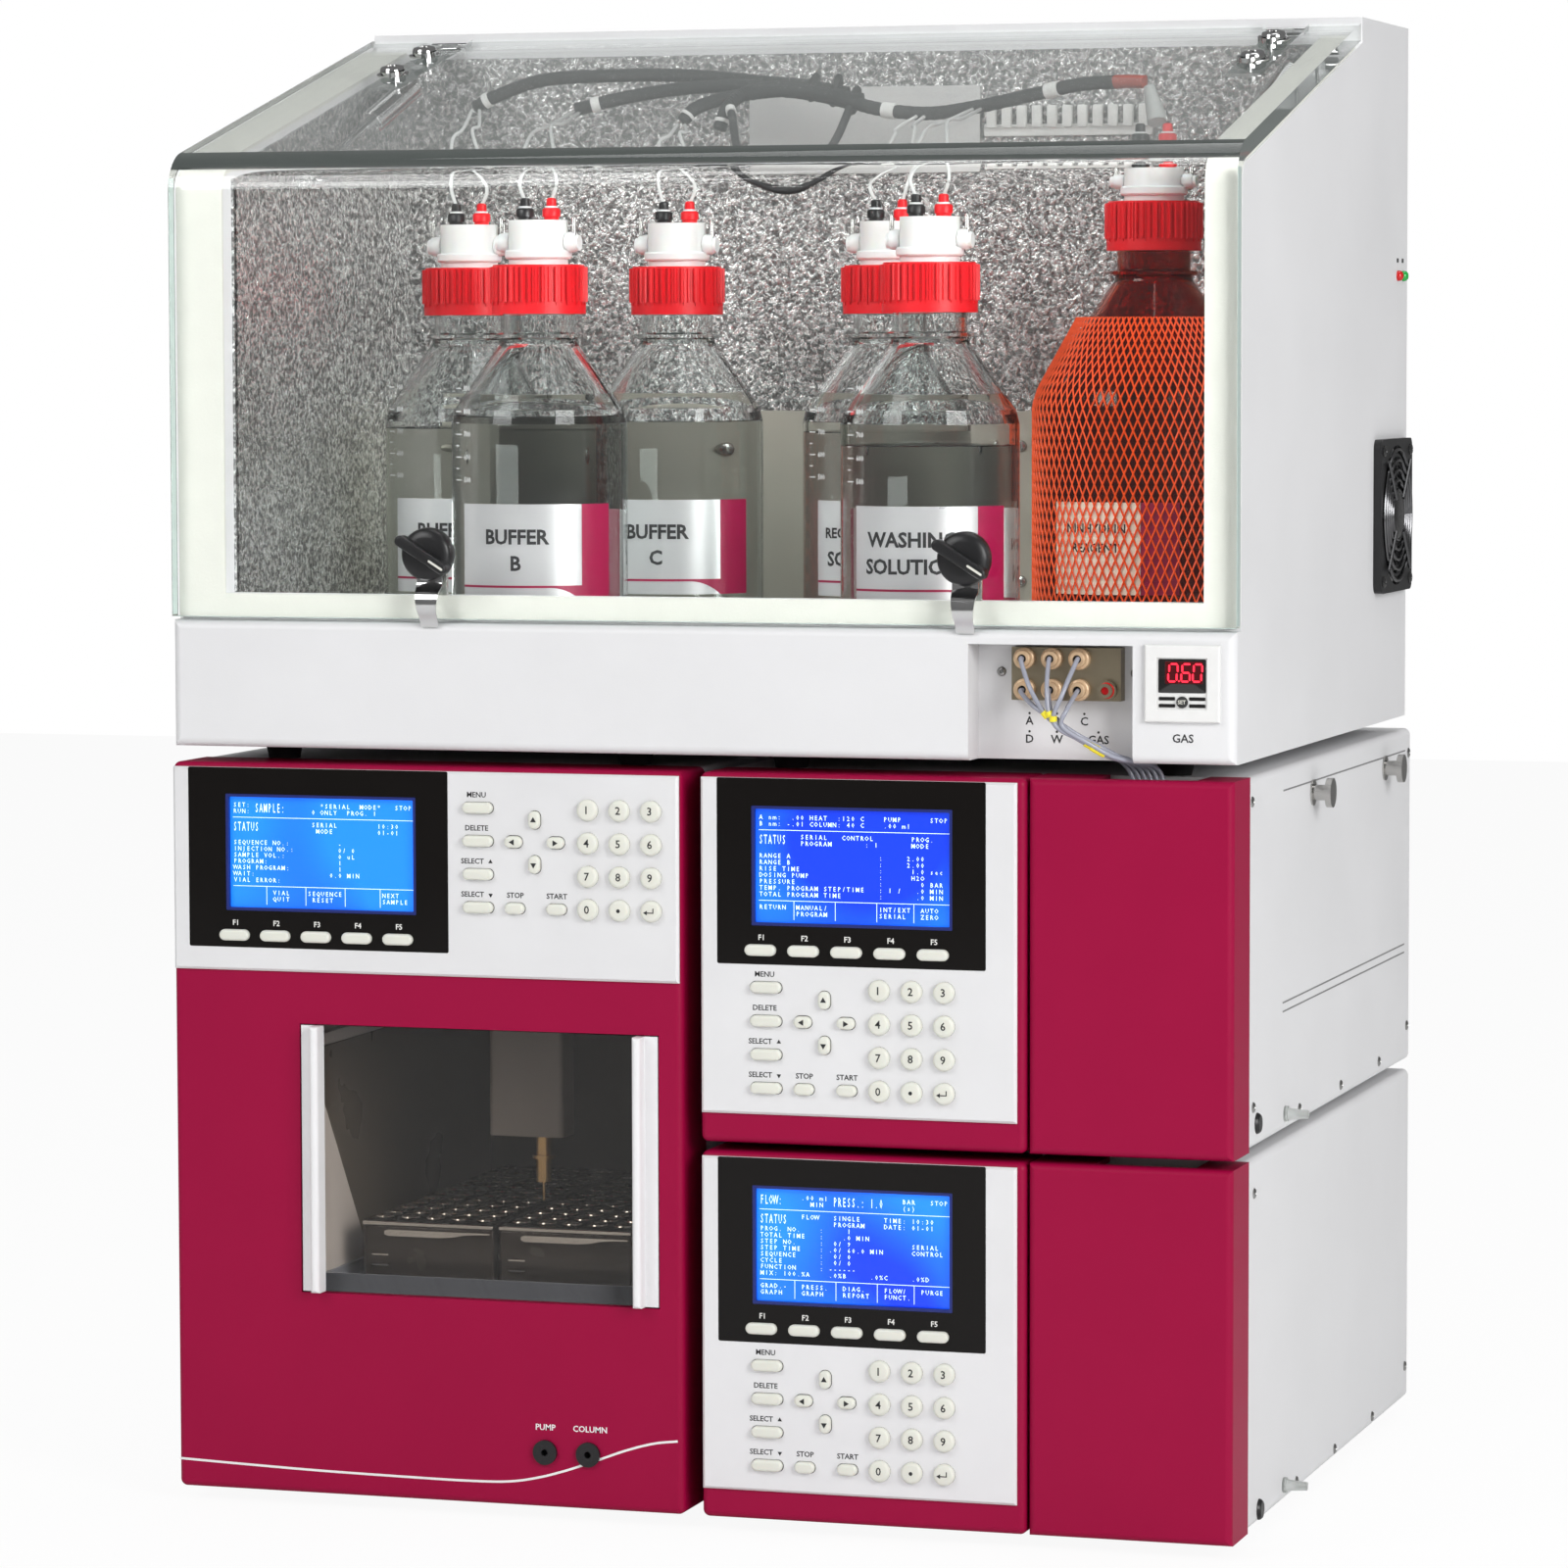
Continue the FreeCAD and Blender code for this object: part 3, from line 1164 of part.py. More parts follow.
# Latches: a winged knob in front, a shaft through the hood, a cam behind it over the sill
for number, name in enumerate(("latch_left", "latch_right")):
    latch_x = f"({LEFT} + latch_x + {number} * latch_pitch)"
    knob_y = f"({FRONT} - knob_thick - 0.5)"
    knob = rod(latch_x, knob_y, LATCH_Z, "knob_radius", "knob_thick", "Y")
    knob = rounded(knob, 2, lambda edge, bounds: edge.BoundBox.YMax < bounds.YMin + 1)
    wing = box(f"{latch_x} - wing_length / 2", f"{knob_y} - wing_rise", f"{LATCH_Z} - wing_thick / 2",
               "wing_length", "wing_rise + 1", "wing_thick")
    wing = rounded(wing, size("wing_thick") * 0.4, lambda edge, bounds: along(edge, 1))
    shaft = rod(latch_x, f"{FRONT} - 1", LATCH_Z, "latch_shaft", "hood_wall + 1 + hood_gap + cam_thick", "Y")
    cam_y = f"({FRONT} + hood_wall + hood_gap)"
    cam_low = f"({SILL_Z} + 1)"
    hub = rod(latch_x, cam_y, LATCH_Z, "cam_width / 2 + 1", "cam_thick", "Y")
    cam = box(f"{latch_x} - cam_width / 2", cam_y, cam_low, "cam_width", "cam_thick",
              f"{LATCH_Z} - {cam_low}")
    lip = box(f"{latch_x} - cam_width / 2", cam_y, cam_low, "cam_width", "3 * cam_thick", "cam_thick")
    node(name, fuse(knob, wing, shaft, hub, cam, lip))

# Gas manifold: a block in the recess with collared fittings in two rows
MANIFOLD_X = f"({LEFT} + manifold_x)"
MANIFOLD_Y = f"({FRONT} + recess_depth - manifold_thick)"
MANIFOLD_Z = f"({CABINET_Z} + manifold_z)"
block = box(MANIFOLD_X, MANIFOLD_Y, MANIFOLD_Z, "manifold_width", "manifold_thick", "manifold_height")
fittings = []
for number in range(7):
    column, line = (number, 1) if number < 3 else (number - 3, 0)
    fit_x = f"({MANIFOLD_X} + fitting_pitch / 2 + {column} * fitting_pitch)"
    fit_z = f"({MANIFOLD_Z} + (manifold_height - fitting_row) / 2 + {line} * fitting_row)"
    collar = rod(fit_x, f"{MANIFOLD_Y} - fitting_length / 2", fit_z, "fitting_radius",
                 "fitting_length / 2 + 1", "Y")
    nose = rod(fit_x, f"{MANIFOLD_Y} - fitting_length", fit_z, "fitting_radius * 0.72",
               "fitting_length / 2", "Y")
    bore = rod(fit_x, f"{MANIFOLD_Y} - fitting_length - 1", fit_z, "fitting_bore", "fitting_length", "Y")
    fittings.append(cut(fuse(collar, nose), bore))
node("gas_manifold", fuse(block, *fittings))

METER_X = f"({LEFT} + meter_x)"
METER_Z = f"({CABINET_Z} + meter_z)"
bezel = box(METER_X, f"{FRONT} - meter_rise", METER_Z, "meter_side", "meter_rise", "meter_side")
bezel = rounded(bezel, 1.2, front_edges)
inner = box(f"{METER_X} + (meter_side - meter_body) / 2", f"{FRONT} - 1",
            f"{METER_Z} + (meter_side - meter_body) / 2", "meter_body", "meter_depth", "meter_body")
glass = box(f"{METER_X} + meter_side / 6", f"{FRONT} - meter_rise - 1", f"{METER_Z} + meter_side / 6",
            "meter_side * 2 / 3", "2", "meter_side * 2 / 3")
KEY_X = f"({METER_X} + meter_side / 2)"
KEY_Z = f"({METER_Z} + meter_side / 6 + set_key_z - set_key_radius)"
KEY_Y = f"({FRONT} - meter_rise + 1)"
key_hole = rod(KEY_X, f"{KEY_Y} - 1", KEY_Z, "set_key_radius + key_gap / 2", "4", "Y")
node("pressure_meter", cut(fuse(bezel, inner), glass, key_hole))
node("meter_set_key", rod(KEY_X, f"{KEY_Y} - set_key_rise", KEY_Z, "set_key_radius", "set_key_rise + 2",
                          "Y"))

# Fan: a ringed guard over a rotor that turns on the spindle
GUARD_X = f"({CABINET_RIGHT})"
plate = box(GUARD_X, f"{FAN_Y} - fan_side / 2", f"{FAN_Z} - fan_side / 2", "fan_thick", "fan_side",
            "fan_side")
plate = rounded(plate, 6, lambda edge, bounds: along(edge, 0))
guard = [cut(plate, rod(f"{GUARD_X} - 1", FAN_Y, FAN_Z, "fan_bore", "fan_thick + 2", "X"))]
ring_x = f"({GUARD_X} + fan_thick - ring_thick)"
for number in range(int(size("fan_rings"))):
    ring_radius = f"(fan_hub + {number + 1} * (fan_bore - fan_hub) / (fan_rings + 1))"
    ring = rod(ring_x, FAN_Y, FAN_Z, ring_radius, "ring_thick", "X")
    guard.append(cut(ring, rod(f"{ring_x} - 1", FAN_Y, FAN_Z, f"{ring_radius} - ring_wall",
                               "ring_thick + 2", "X")))
guard.append(rod(ring_x, FAN_Y, FAN_Z, "fan_hub", "ring_thick", "X"))
guard.append(box(ring_x, f"{FAN_Y} - fan_bore - 1", f"{FAN_Z} - ring_wall / 2", "ring_thick",
                 "2 * fan_bore + 2", "ring_wall"))
guard.append(box(ring_x, f"{FAN_Y} - ring_wall / 2", f"{FAN_Z} - fan_bore - 1", "ring_thick", "ring_wall",
                 "2 * fan_bore + 2"))
node("fan_guard", fuse(*guard))

ROTOR_X = f"({WELL_X} + runner_gap)"
blades = []
hub = rod(ROTOR_X, FAN_Y, FAN_Z, "fan_hub", "rotor_thick", "X")
for number in range(int(size("blade_count"))):
    blade = doc.addObject("Part::Box", "blade")
    bind(blade, "Length", "rotor_thick - 2")
    bind(blade, "Width", "blade_thick")
    bind(blade, "Height", "blade_reach")
    pitch = FreeCAD.Rotation(FreeCAD.Vector(0, 0, 1), 35)
    turn = FreeCAD.Rotation(FreeCAD.Vector(1, 0, 0), 360 * number / size("blade_count"))
    offset = (turn * pitch).multVec(FreeCAD.Vector(-size("rotor_thick") / 2 + 1, -size("blade_thick") / 2,
                                                   0))
    blade.Placement = FreeCAD.Placement(FreeCAD.Vector(), turn * pitch)
    place(blade, f"{ROTOR_X} + rotor_thick / 2 + {offset.x}", f"{FAN_Y} + {offset.y}",
          f"{FAN_Z} + {offset.z}")
    blades.append(blade)
spindle_hole = rod(f"{ROTOR_X} - 1", FAN_Y, FAN_Z, "spindle_radius + running_gap", "rotor_thick", "X")
node("fan_rotor", cut(fuse(hub, *blades), spindle_hole))

lamps = []
for number in range(2):
    lamp_y = f"({FRONT} + lamp_y + {number} * lamp_pitch)"
    lamp_z = f"({CABINET_Z} + lamp_z)"
    lens = rod(CABINET_RIGHT, lamp_y, lamp_z, "lamp_radius", "lamp_rise", "X")
    lamps.append(rounded(lens, 1.5, lambda edge, bounds: edge.BoundBox.XMin > bounds.XMax - 0.1))
node("status_lamps", group(*lamps))


# Bottles
def bottle(radius, shoulder, neck_base, height):
    """A laboratory bottle of glass with a collar under its screw neck."""
    slope = f"({neck_base} - 3)"
    return turned_body("0", "0", "0", [
        ("0", "0"),
        (f"{radius} - 5", "0"),
        (radius, "4"),
        (radius, shoulder),
        (f"{radius} - 2", f"{shoulder} + 8"),
        (f"{radius} - 8", f"{shoulder} + 17"),
        ("neck_radius + 2", slope),
        ("neck_radius + 1", f"{neck_base}"),
        ("neck_ring", f"{neck_base} + 1"),
        ("neck_ring", f"{neck_base} + 3"),
        ("neck_radius", f"{neck_base} + 4"),
        ("neck_radius", height),
        ("neck_radius - glass_wall", height),
        ("neck_radius - glass_wall", slope),
        (f"{radius} - 8 - glass_wall", f"{shoulder} + 16"),
        (f"{radius} - glass_wall", shoulder),
        (f"{radius} - glass_wall", "4 + glass_wall"),
        (f"{radius} - 5 - glass_wall", "glass_wall"),
        ("0", "glass_wall"),
    ])


def cap_form():
    """An open screw cap: ribbed wall, smooth skirt, and a hole in its top for the head."""
    wall = turned_body("0", "0", "0", [
        (f"neck_radius + cap_gap", "0"),
        ("cap_radius", "0"),
        ("cap_radius", "cap_skirt"),
        ("cap_radius - cap_rib", "cap_skirt"),
        ("cap_radius - cap_rib", "cap_height"),
        ("head_block + cap_gap", "cap_height"),
        ("head_block + cap_gap", "cap_height - cap_over"),
        ("neck_radius + cap_gap", "cap_height - cap_over"),
    ])
    ribs = []
    for number in range(int(size("cap_ribs"))):
        rib = doc.addObject("Part::Box", "rib")
        bind(rib, "Length", "2 * cap_rib")
        bind(rib, "Width", "3")
        bind(rib, "Height", "cap_height - cap_skirt - 1")
        turn = FreeCAD.Rotation(FreeCAD.Vector(0, 0, 1), 360 * number / size("cap_ribs"))
        corner = turn.multVec(FreeCAD.Vector(size("cap_radius") - 2 * size("cap_rib"), -1.5, 0))
        rib.Placement = FreeCAD.Placement(corner, turn)
        bind(rib, "Placement.Base.z", "cap_skirt")
        ribs.append(rib)
    return fuse(wall, *ribs)


def head_form():
    """The white block in the cap: a plug in the neck, two tube nuts and two side taps."""
    seat = "(cap_height - cap_over - 0.3)"
    plug = rod("0", "0", "0", "neck_radius - glass_wall - 0.3", seat)
    rim = rod("0", "0", f"{seat} - 2", "neck_radius - 0.5", "2")
    block = rod("0", "0", seat, "head_block", "head_rise + cap_over")
    parts = [plug, rim, block]
    for side in ("-", "+"):
        parts.append(rod(f"{side} plug_offset", "0", f"{seat} + head_rise", "plug_radius",
                         "cap_over + plug_rise"))
    arm_z = f"({seat} + cap_over + head_rise / 2)"
    parts.append(rod("-arm_reach", "0", arm_z, "arm_radius", "2 * arm_reach", "X"))
    return fuse(*parts)


clear = bottle("bottle_radius", "bottle_shoulder", "neck_base", "bottle_height")
amber = bottle("amber_radius", "amber_shoulder", "amber_neck_base", "amber_height")
cap = cap_form()
head = head_form()
CAP_SEAT = "(cap_height - cap_over - 0.3)"
caps = []
bottle_heads = []


def stand(name, form, x, y, height):
    """Stands one bottle on the cavity floor, with its cap and its head."""
    spot = (f"{LEFT} + {x}", f"{FRONT} + {y}")
    node(name, copy_of(form, *spot, FLOOR_Z))
    caps.append(copy_of(cap, *spot, f"{FLOOR_Z} + {height} - {CAP_SEAT} + 2.3"))
    bottle_heads.append(copy_of(head, *spot, f"{FLOOR_Z} + {height} - {CAP_SEAT} + 2.1"))


for number, name in enumerate(("bottle_rear_left", "bottle_rear_middle", "bottle_rear_right")):
    stand(name, clear, f"rear_row_x + {number} * rear_row_pitch", "rear_row_y", "bottle_height")
for number, name in enumerate(("bottle_front_left", "bottle_front_right")):
    stand(name, clear, f"front_row_x + {number} * front_row_pitch", "front_row_y", "bottle_height")
stand("amber_bottle", amber, "amber_x", "amber_y", "amber_height")
node("bottle_caps", group(*caps))
node("bottle_heads", group(*bottle_heads))

doc.recompute()
for item in doc.Objects:
    if "Invalid" in item.State or "Error" in item.State:
        raise RuntimeError(f"{item.Label} did not build: {item.State}")
for piece in nodes:
    if piece.Shape.isNull() or not piece.Shape.isValid() or not piece.Shape.Solids:
        raise RuntimeError(f"{piece.Label} has no sound solid")
    piece.Shape.exportStep(f"parts/{piece.Label}.step")
print(len(nodes), "nodes")
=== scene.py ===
"""Dresses a bench analyzer: red fronts, blue displays, a foil-lined cabinet of bottles and a clear hood."""

import math

import bmesh
import bpy
import numpy as np
from mathutils import Euler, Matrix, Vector


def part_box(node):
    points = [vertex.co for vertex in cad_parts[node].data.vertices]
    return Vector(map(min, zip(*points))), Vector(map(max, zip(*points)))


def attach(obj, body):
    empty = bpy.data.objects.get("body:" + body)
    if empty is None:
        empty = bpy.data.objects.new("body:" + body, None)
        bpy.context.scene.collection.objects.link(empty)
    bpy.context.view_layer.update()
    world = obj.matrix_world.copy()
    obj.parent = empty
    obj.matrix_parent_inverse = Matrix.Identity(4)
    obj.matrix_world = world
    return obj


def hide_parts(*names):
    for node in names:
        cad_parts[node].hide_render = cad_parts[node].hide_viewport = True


bl_info = {
    "name": "Bench analyzer",
    "version": (1, 0, 0),
    "blender": (4, 5, 0),
    "location": "View3D > Sidebar > Analyzer",
    "description": "Builds the looks of a bench analyzer around its packed frame",
    "category": "Object",
}

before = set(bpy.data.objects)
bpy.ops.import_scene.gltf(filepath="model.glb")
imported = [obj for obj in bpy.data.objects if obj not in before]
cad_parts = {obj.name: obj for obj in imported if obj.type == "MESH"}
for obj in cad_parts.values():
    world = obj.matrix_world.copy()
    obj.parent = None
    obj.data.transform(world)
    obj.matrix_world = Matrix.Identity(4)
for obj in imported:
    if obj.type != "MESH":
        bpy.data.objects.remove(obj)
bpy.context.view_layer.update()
MM = 0.001


def span(node):
    """Lowest and highest corner of a CAD node in millimetres."""
    low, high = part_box(node)
    return np.array(low) / MM, np.array(high) / MM


# Places read from the frame, in millimetres
LEFT, FRONT = span("injector_fascia")[0][:2]
BASE_Z = span("cabinet_housing")[0][2]
LINING_LOW, LINING_HIGH = span("cabinet_lining")
FLOOR_Z = LINING_LOW[2] + 1.5
EDGE_RISE = 323
EDGE_Y = -221.75
SLOPE = 0.2564
HOOD_THICK = 12
BOTTLES = ("bottle_rear_left", "bottle_rear_middle", "bottle_rear_right", "bottle_front_left",
           "bottle_front_right")


def slope_z(y):
    """Height of the cabinet's sloping top at a depth."""
    return BASE_Z + EDGE_RISE + (y - EDGE_Y) * SLOPE


# Sizes and colours that a user would change
def colour(name, text, default):
    return bpy.props.FloatVectorProperty(name=name, description=text, default=default, size=3, min=0, max=1,
                                         subtype="COLOR")


def length(name, text, default):
    return bpy.props.FloatProperty(name=name, description=text, default=default * MM, min=0, unit="LENGTH",
                                   subtype="DISTANCE", precision=5)


class AnalyzerColours(bpy.types.PropertyGroup):
    """Colours of the finishes, as linear red, green and blue."""

    red_paint: colour("Red paint", "Raspberry red of the fronts and doors", (0.30, 0.002, 0.042))
    grey_sheet: colour("Grey sheet", "Light grey of the sheet covers", (0.70, 0.70, 0.71))
    silver: colour("Silver", "Silver white of the control panels", (0.79, 0.79, 0.80))
    display_deep: colour("Display edge", "Deep blue at the display's edge", (0.004, 0.035, 0.62))
    display_bright: colour("Display middle", "Bright blue in the display's middle", (0.01, 0.19, 1.0))
    display_text: colour("Display text", "Pale dots of the display", (0.62, 0.82, 1.0))
    black_field: colour("Black field", "Black brown round the displays", (0.005, 0.004, 0.0035))
    key_face: colour("Key face", "Off-white of the keys", (0.70, 0.69, 0.62))
    foil: colour("Foil", "Embossed lining of the cabinet", (0.80, 0.80, 0.79))
    clear_sheet: colour("Clear sheet", "Tint of the hood", (0.985, 0.995, 0.99))
    cap_red: colour("Cap red", "Red of the bottle caps", (0.72, 0.003, 0.010))
    head_white: colour("Head white", "White of the cap heads", (0.76, 0.76, 0.75))
    amber: colour("Amber", "Colour of the amber bottle", (0.50, 0.04, 0.004))
    net: colour("Net", "Orange of the sleeve on the amber bottle", (0.90, 0.085, 0.003))
    label_silver: colour("Label silver", "Field of the bottle labels", (0.66, 0.66, 0.67))
    label_red: colour("Label stripe", "Stripe of the bottle labels", (0.32, 0.001, 0.052))


class AnalyzerSizes(bpy.types.PropertyGroup):
    """Sizes of the pieces that are added to the frame."""

    key_rise: length("Key rise", "Height of a key over its panel", 3.2)
    emboss_height: length("Emboss height", "Depth of the foil's pattern", 0.8)
    emboss_pitch: length("Emboss pitch", "Distance between the foil's bumps", 3.9)
    net_strand: length("Net strand", "Thickness of a strand of the net", 1.15)
    hose_width: length("Hose width", "Diameter of the braided hoses", 8.0)
    tube_width: length("Tube width", "Diameter of the thin tubes", 2.2)
    lens: bpy.props.FloatProperty(name="Lens", description="Focal length of the camera in millimetres",
                                  default=136.35, min=20, max=400)


def colours():
    return bpy.context.scene.analyzer_colours


def size(name):
    """A length of the add-on in millimetres."""
    return getattr(bpy.context.scene.analyzer_sizes, name) / MM


# Finishes: slot, colour (or the name of one above), roughness, metal, and what else differs from plain
FINISH_TABLE = {
    "red_paint": (None, "red_paint", 0.42, 0,
                  dict(grain=(0.06, 1500), mottle=(0.05, 18), Specular_IOR_Level=0.15)),
    "grey_sheet": (None, "grey_sheet", 0.45, 0, dict(grain=(0.12, 1300), mottle=(0.05, 12))),
    "black_plastic": ("black_plastic", (0.012, 0.012, 0.013), 0.35, 0,
                      dict(grain=(0.15, 1200), mottle=(0.06, 60))),
    "bright_steel": ("bright_steel", (0.62, 0.61, 0.59), 0.24, 1, dict(grain=(0.05, 700), mottle=(0.08, 60))),
    "soft_rubber": (None, (0.012, 0.012, 0.012), 0.75, 0, dict(grain=(0.3, 900))),
    "milky": (None, (0.86, 0.88, 0.86), 0.45, 0, dict(ior=1.4)),
    "screw_zinc": ("bright_steel", (0.42, 0.42, 0.41), 0.3, 1, {}),
    "seam_shade": ("grey_sheet", (0.20, 0.20, 0.20), 0.7, 0, {}),
    "silver_panel": (None, "silver", 0.36, 0.2, dict(coat=0.2, grain=(0.04, 1800), mottle=(0.05, 20))),
    "display_blue": (None, "display_bright", 0.25, 0, {}),
    "black_field": ("black_plastic", "black_field", 0.2, 0,
                    dict(coat=0.1, mottle=(0.03, 40), Specular_IOR_Level=0.2)),
    "display_rim": ("black_plastic", (0.01, 0.02, 0.16), 0.3, 0, {}),
    "key_face": ("keys", "key_face", 0.42, 0, dict(Subsurface_Weight=0.05, mottle=(0.04, 80))),
    "key_mat": ("keys", (0.12, 0.12, 0.12), 0.8, 0, {}),
    "dark_print": ("black_plastic", (0.02, 0.02, 0.022), 0.5, 0, dict(mottle=(0.05, 200))),
    "pale_print": ("keys", (0.75, 0.75, 0.72), 0.5, 0, {}),
    "display_text": ("display", "display_text", 0.4, 0, dict(glow=0.9)),
    "white_print": ("white_sheet", (0.80, 0.80, 0.80), 0.45, 0, dict(mottle=(0.04, 90))),
    "folded_white": (None, (0.78, 0.78, 0.79), 0.4, 0, dict(grain=(0.1, 1300), mottle=(0.04, 30))),
    "tray_paint": (None, (0.33, 0.38, 0.47), 0.35, 0, dict(grain=(0.1, 900), mottle=(0.05, 30))),
    "pane_smoke": (None, (0.72, 0.68, 0.64), 0, 0, dict(ior=1.4)),
    "satin_grey": (None, (0.20, 0.19, 0.18), 0.38, 0.3, dict(grain=(0.08, 900), mottle=(0.06, 40))),
    "needle_brass": (None, (0.62, 0.42, 0.20), 0.25, 1, dict(mottle=(0.05, 90))),
    # painted shade: near-black for the chamber's back and roof, where the recess lies in shade
    "chamber_dark": ("black_plastic", (0.05, 0.042, 0.036), 0.35, 0.2,
                     dict(grain=(0.1, 500), mottle=(0.1, 25))),
    "chamber_brown": ("black_plastic", (0.25, 0.22, 0.185), 0.3, 0.3,
                      dict(grain=(0.1, 500), mottle=(0.1, 18))),
    "rack_smoke": ("dark_steel", (0.16, 0.13, 0.11), 0.08, 0, dict(ior=1.5)),
    "rack_dark": ("dark_steel", (0.035, 0.028, 0.024), 0.25, 0.4,
                  dict(coat=0.3, grain=(0.1, 900), mottle=(0.08, 60))),
    "rim_bright": ("bright_steel", (0.66, 0.64, 0.60), 0.16, 1, dict(mottle=(0.05, 120))),
    "vial_cap": ("dark_steel", (0.10, 0.09, 0.08), 0.08, 0.6, dict(coat=0.8)),
    # the foil's plain colour is replaced in the cabinet step by painted shade and highlight on its emboss
    "foil": ("foil", "foil", 0.2, 0.8, dict(mottle=(0.05, 60))),
    "plate_steel": (None, (0.62, 0.58, 0.50), 0.42, 0.5, dict(grain=(0.06, 300), mottle=(0.08, 30))),
    "chromed": ("chromed", (0.80, 0.80, 0.80), 0.08, 1, dict(mottle=(0.03, 90))),
    "hood_clear": (None, "clear_sheet", 0, 0, dict(ior=1.12, coat=0.8)),
    "seal_foam": (None, (0.66, 0.66, 0.61), 0.6, 0, dict(grain=(0.2, 700), mottle=(0.05, 90))),
    "rail_white": ("white_plastic", (0.80, 0.80, 0.78), 0.4, 0, {}),
    "plate_white": ("white_plastic", (0.62, 0.62, 0.61), 0.5, 0, {}),
    # painted highlight: pale opaque strips for the lit cut edges of the hood's clear sheet
    "cut_edge": ("clear_plastic", (0.50, 0.60, 0.57), 0.2, 0, dict(coat=0.4)),
    "wire_dark": ("dark_steel", (0.16, 0.16, 0.165), 0.25, 1, dict(mottle=(0.05, 90))),
    "hub_black": ("dark_steel", (0.02, 0.02, 0.02), 0.25, 0, dict(coat=0.3)),
    "lamp_red": ("lamp", (0.55, 0.008, 0.008), 0.12, 0, dict(coat=0.5, mottle=(0.02, 90))),
    "lamp_green": ("lamp", (0.01, 0.35, 0.05), 0.12, 0, dict(coat=0.5, mottle=(0.02, 90))),
    "bronze": (None, (0.40, 0.34, 0.24), 0.32, 0.9, dict(grain=(0.08, 600), mottle=(0.08, 80))),
    "nut_beige": ("bronze", (0.60, 0.42, 0.26), 0.35, 0.25, dict(mottle=(0.06, 90))),
    "cap_red": ("red_cap", "cap_red", 0.4, 0, dict(mottle=(0.05, 80), Specular_IOR_Level=0.35)),
    "tube_grey": ("frosted", (0.30, 0.31, 0.37), 0.25, 0, dict(coat=0.4, mottle=(0.05, 90))),
    "sleeve_yellow": ("keys", (0.85, 0.72, 0.03), 0.45, 0, {}),
    "meter_white": (None, (0.74, 0.74, 0.73), 0.4, 0, dict(mottle=(0.04, 90))),
    "meter_black": ("black_plastic", (0.012, 0.011, 0.011), 0.12, 0, dict(coat=0.6)),
    "window_red": ("display", (0.07, 0.002, 0.004), 0.15, 0, dict(coat=0.5)),
    "digit_red": ("display", (0.9, 0.01, 0.03), 0.4, 0, dict(glow=1.6, Emission_Color=(1, 0.02, 0.05, 1))),
    "set_dark": (None, (0.03, 0.03, 0.03), 0.4, 0, {}),
    "bottle_clear": (None, (0.975, 0.99, 0.985), 0, 0, dict(ior=1.46)),
    "clear_liquid": ("clear_glass", (0.97, 0.98, 0.975), 0, 0, dict(ior=1.33)),
    "amber_clear": (None, "amber", 0, 0, dict(ior=1.46)),
    "amber_liquid": ("amber_glass", (0.70, 0.14, 0.02), 0, 0, dict(ior=1.33)),
    "label_silver": ("panel_silver", "label_silver", 0.3, 0.5, dict(mottle=(0.06, 30))),
    "label_magenta": ("red_cap", "label_red", 0.35, 0, dict(mottle=(0.04, 60))),
    # painted glow: the net's strands glow faintly in their own orange though they are no lamp
    "net_orange": ("amber_glass", "net", 0.5, 0, dict(mottle=(0.05, 80), glow=0.12)),
    "amber_silver": ("panel_silver", (0.90, 0.82, 0.68), 0.35, 0, {}),
    "head_white": ("white_plastic", "head_white", 0.4, 0, dict(Subsurface_Weight=0.1, mottle=(0.05, 80))),
    "braid_black": ("rubber", (0.014, 0.014, 0.015), 0.55, 0, dict(grain=(0.8, 900), mottle=(0.08, 300))),
    "tube_milk": ("frosted", (0.66, 0.67, 0.66), 0.25, 0, dict(coat=0.4)),
    "marker_white": ("white_plastic", (0.78, 0.78, 0.76), 0.5, 0, {}),
    "tip_red": ("red_cap", (0.35, 0.03, 0.01), 0.45, 0, {}),
    "cone_grey": ("frosted", (0.42, 0.43, 0.42), 0.45, 0, {}),
}
FINISHES = {}
GRAIN_DEPTH = 0.4


def add(tree, kind, **sockets):
    """A new node of a tree with values set on its sockets."""
    node = tree.nodes.new(kind)
    for socket, value in sockets.items():
        node.inputs[socket.replace("_", " ")].default_value = value
    return node


def reckon(tree, operation, *values, clamp=False):
    """A math node with its fixed values by place, where None leaves a socket free."""
    node = tree.nodes.new("ShaderNodeMath")
    node.operation = operation
    node.use_clamp = clamp
    for place, value in enumerate(values):
        if value is not None:
            node.inputs[place].default_value = value
    return node


def wire(tree, *links):
    """Joins sockets, each link given as (node, output, node, input)."""
    for source, output, target, socket in links:
        tree.links.new(source.outputs[output], target.inputs[socket])


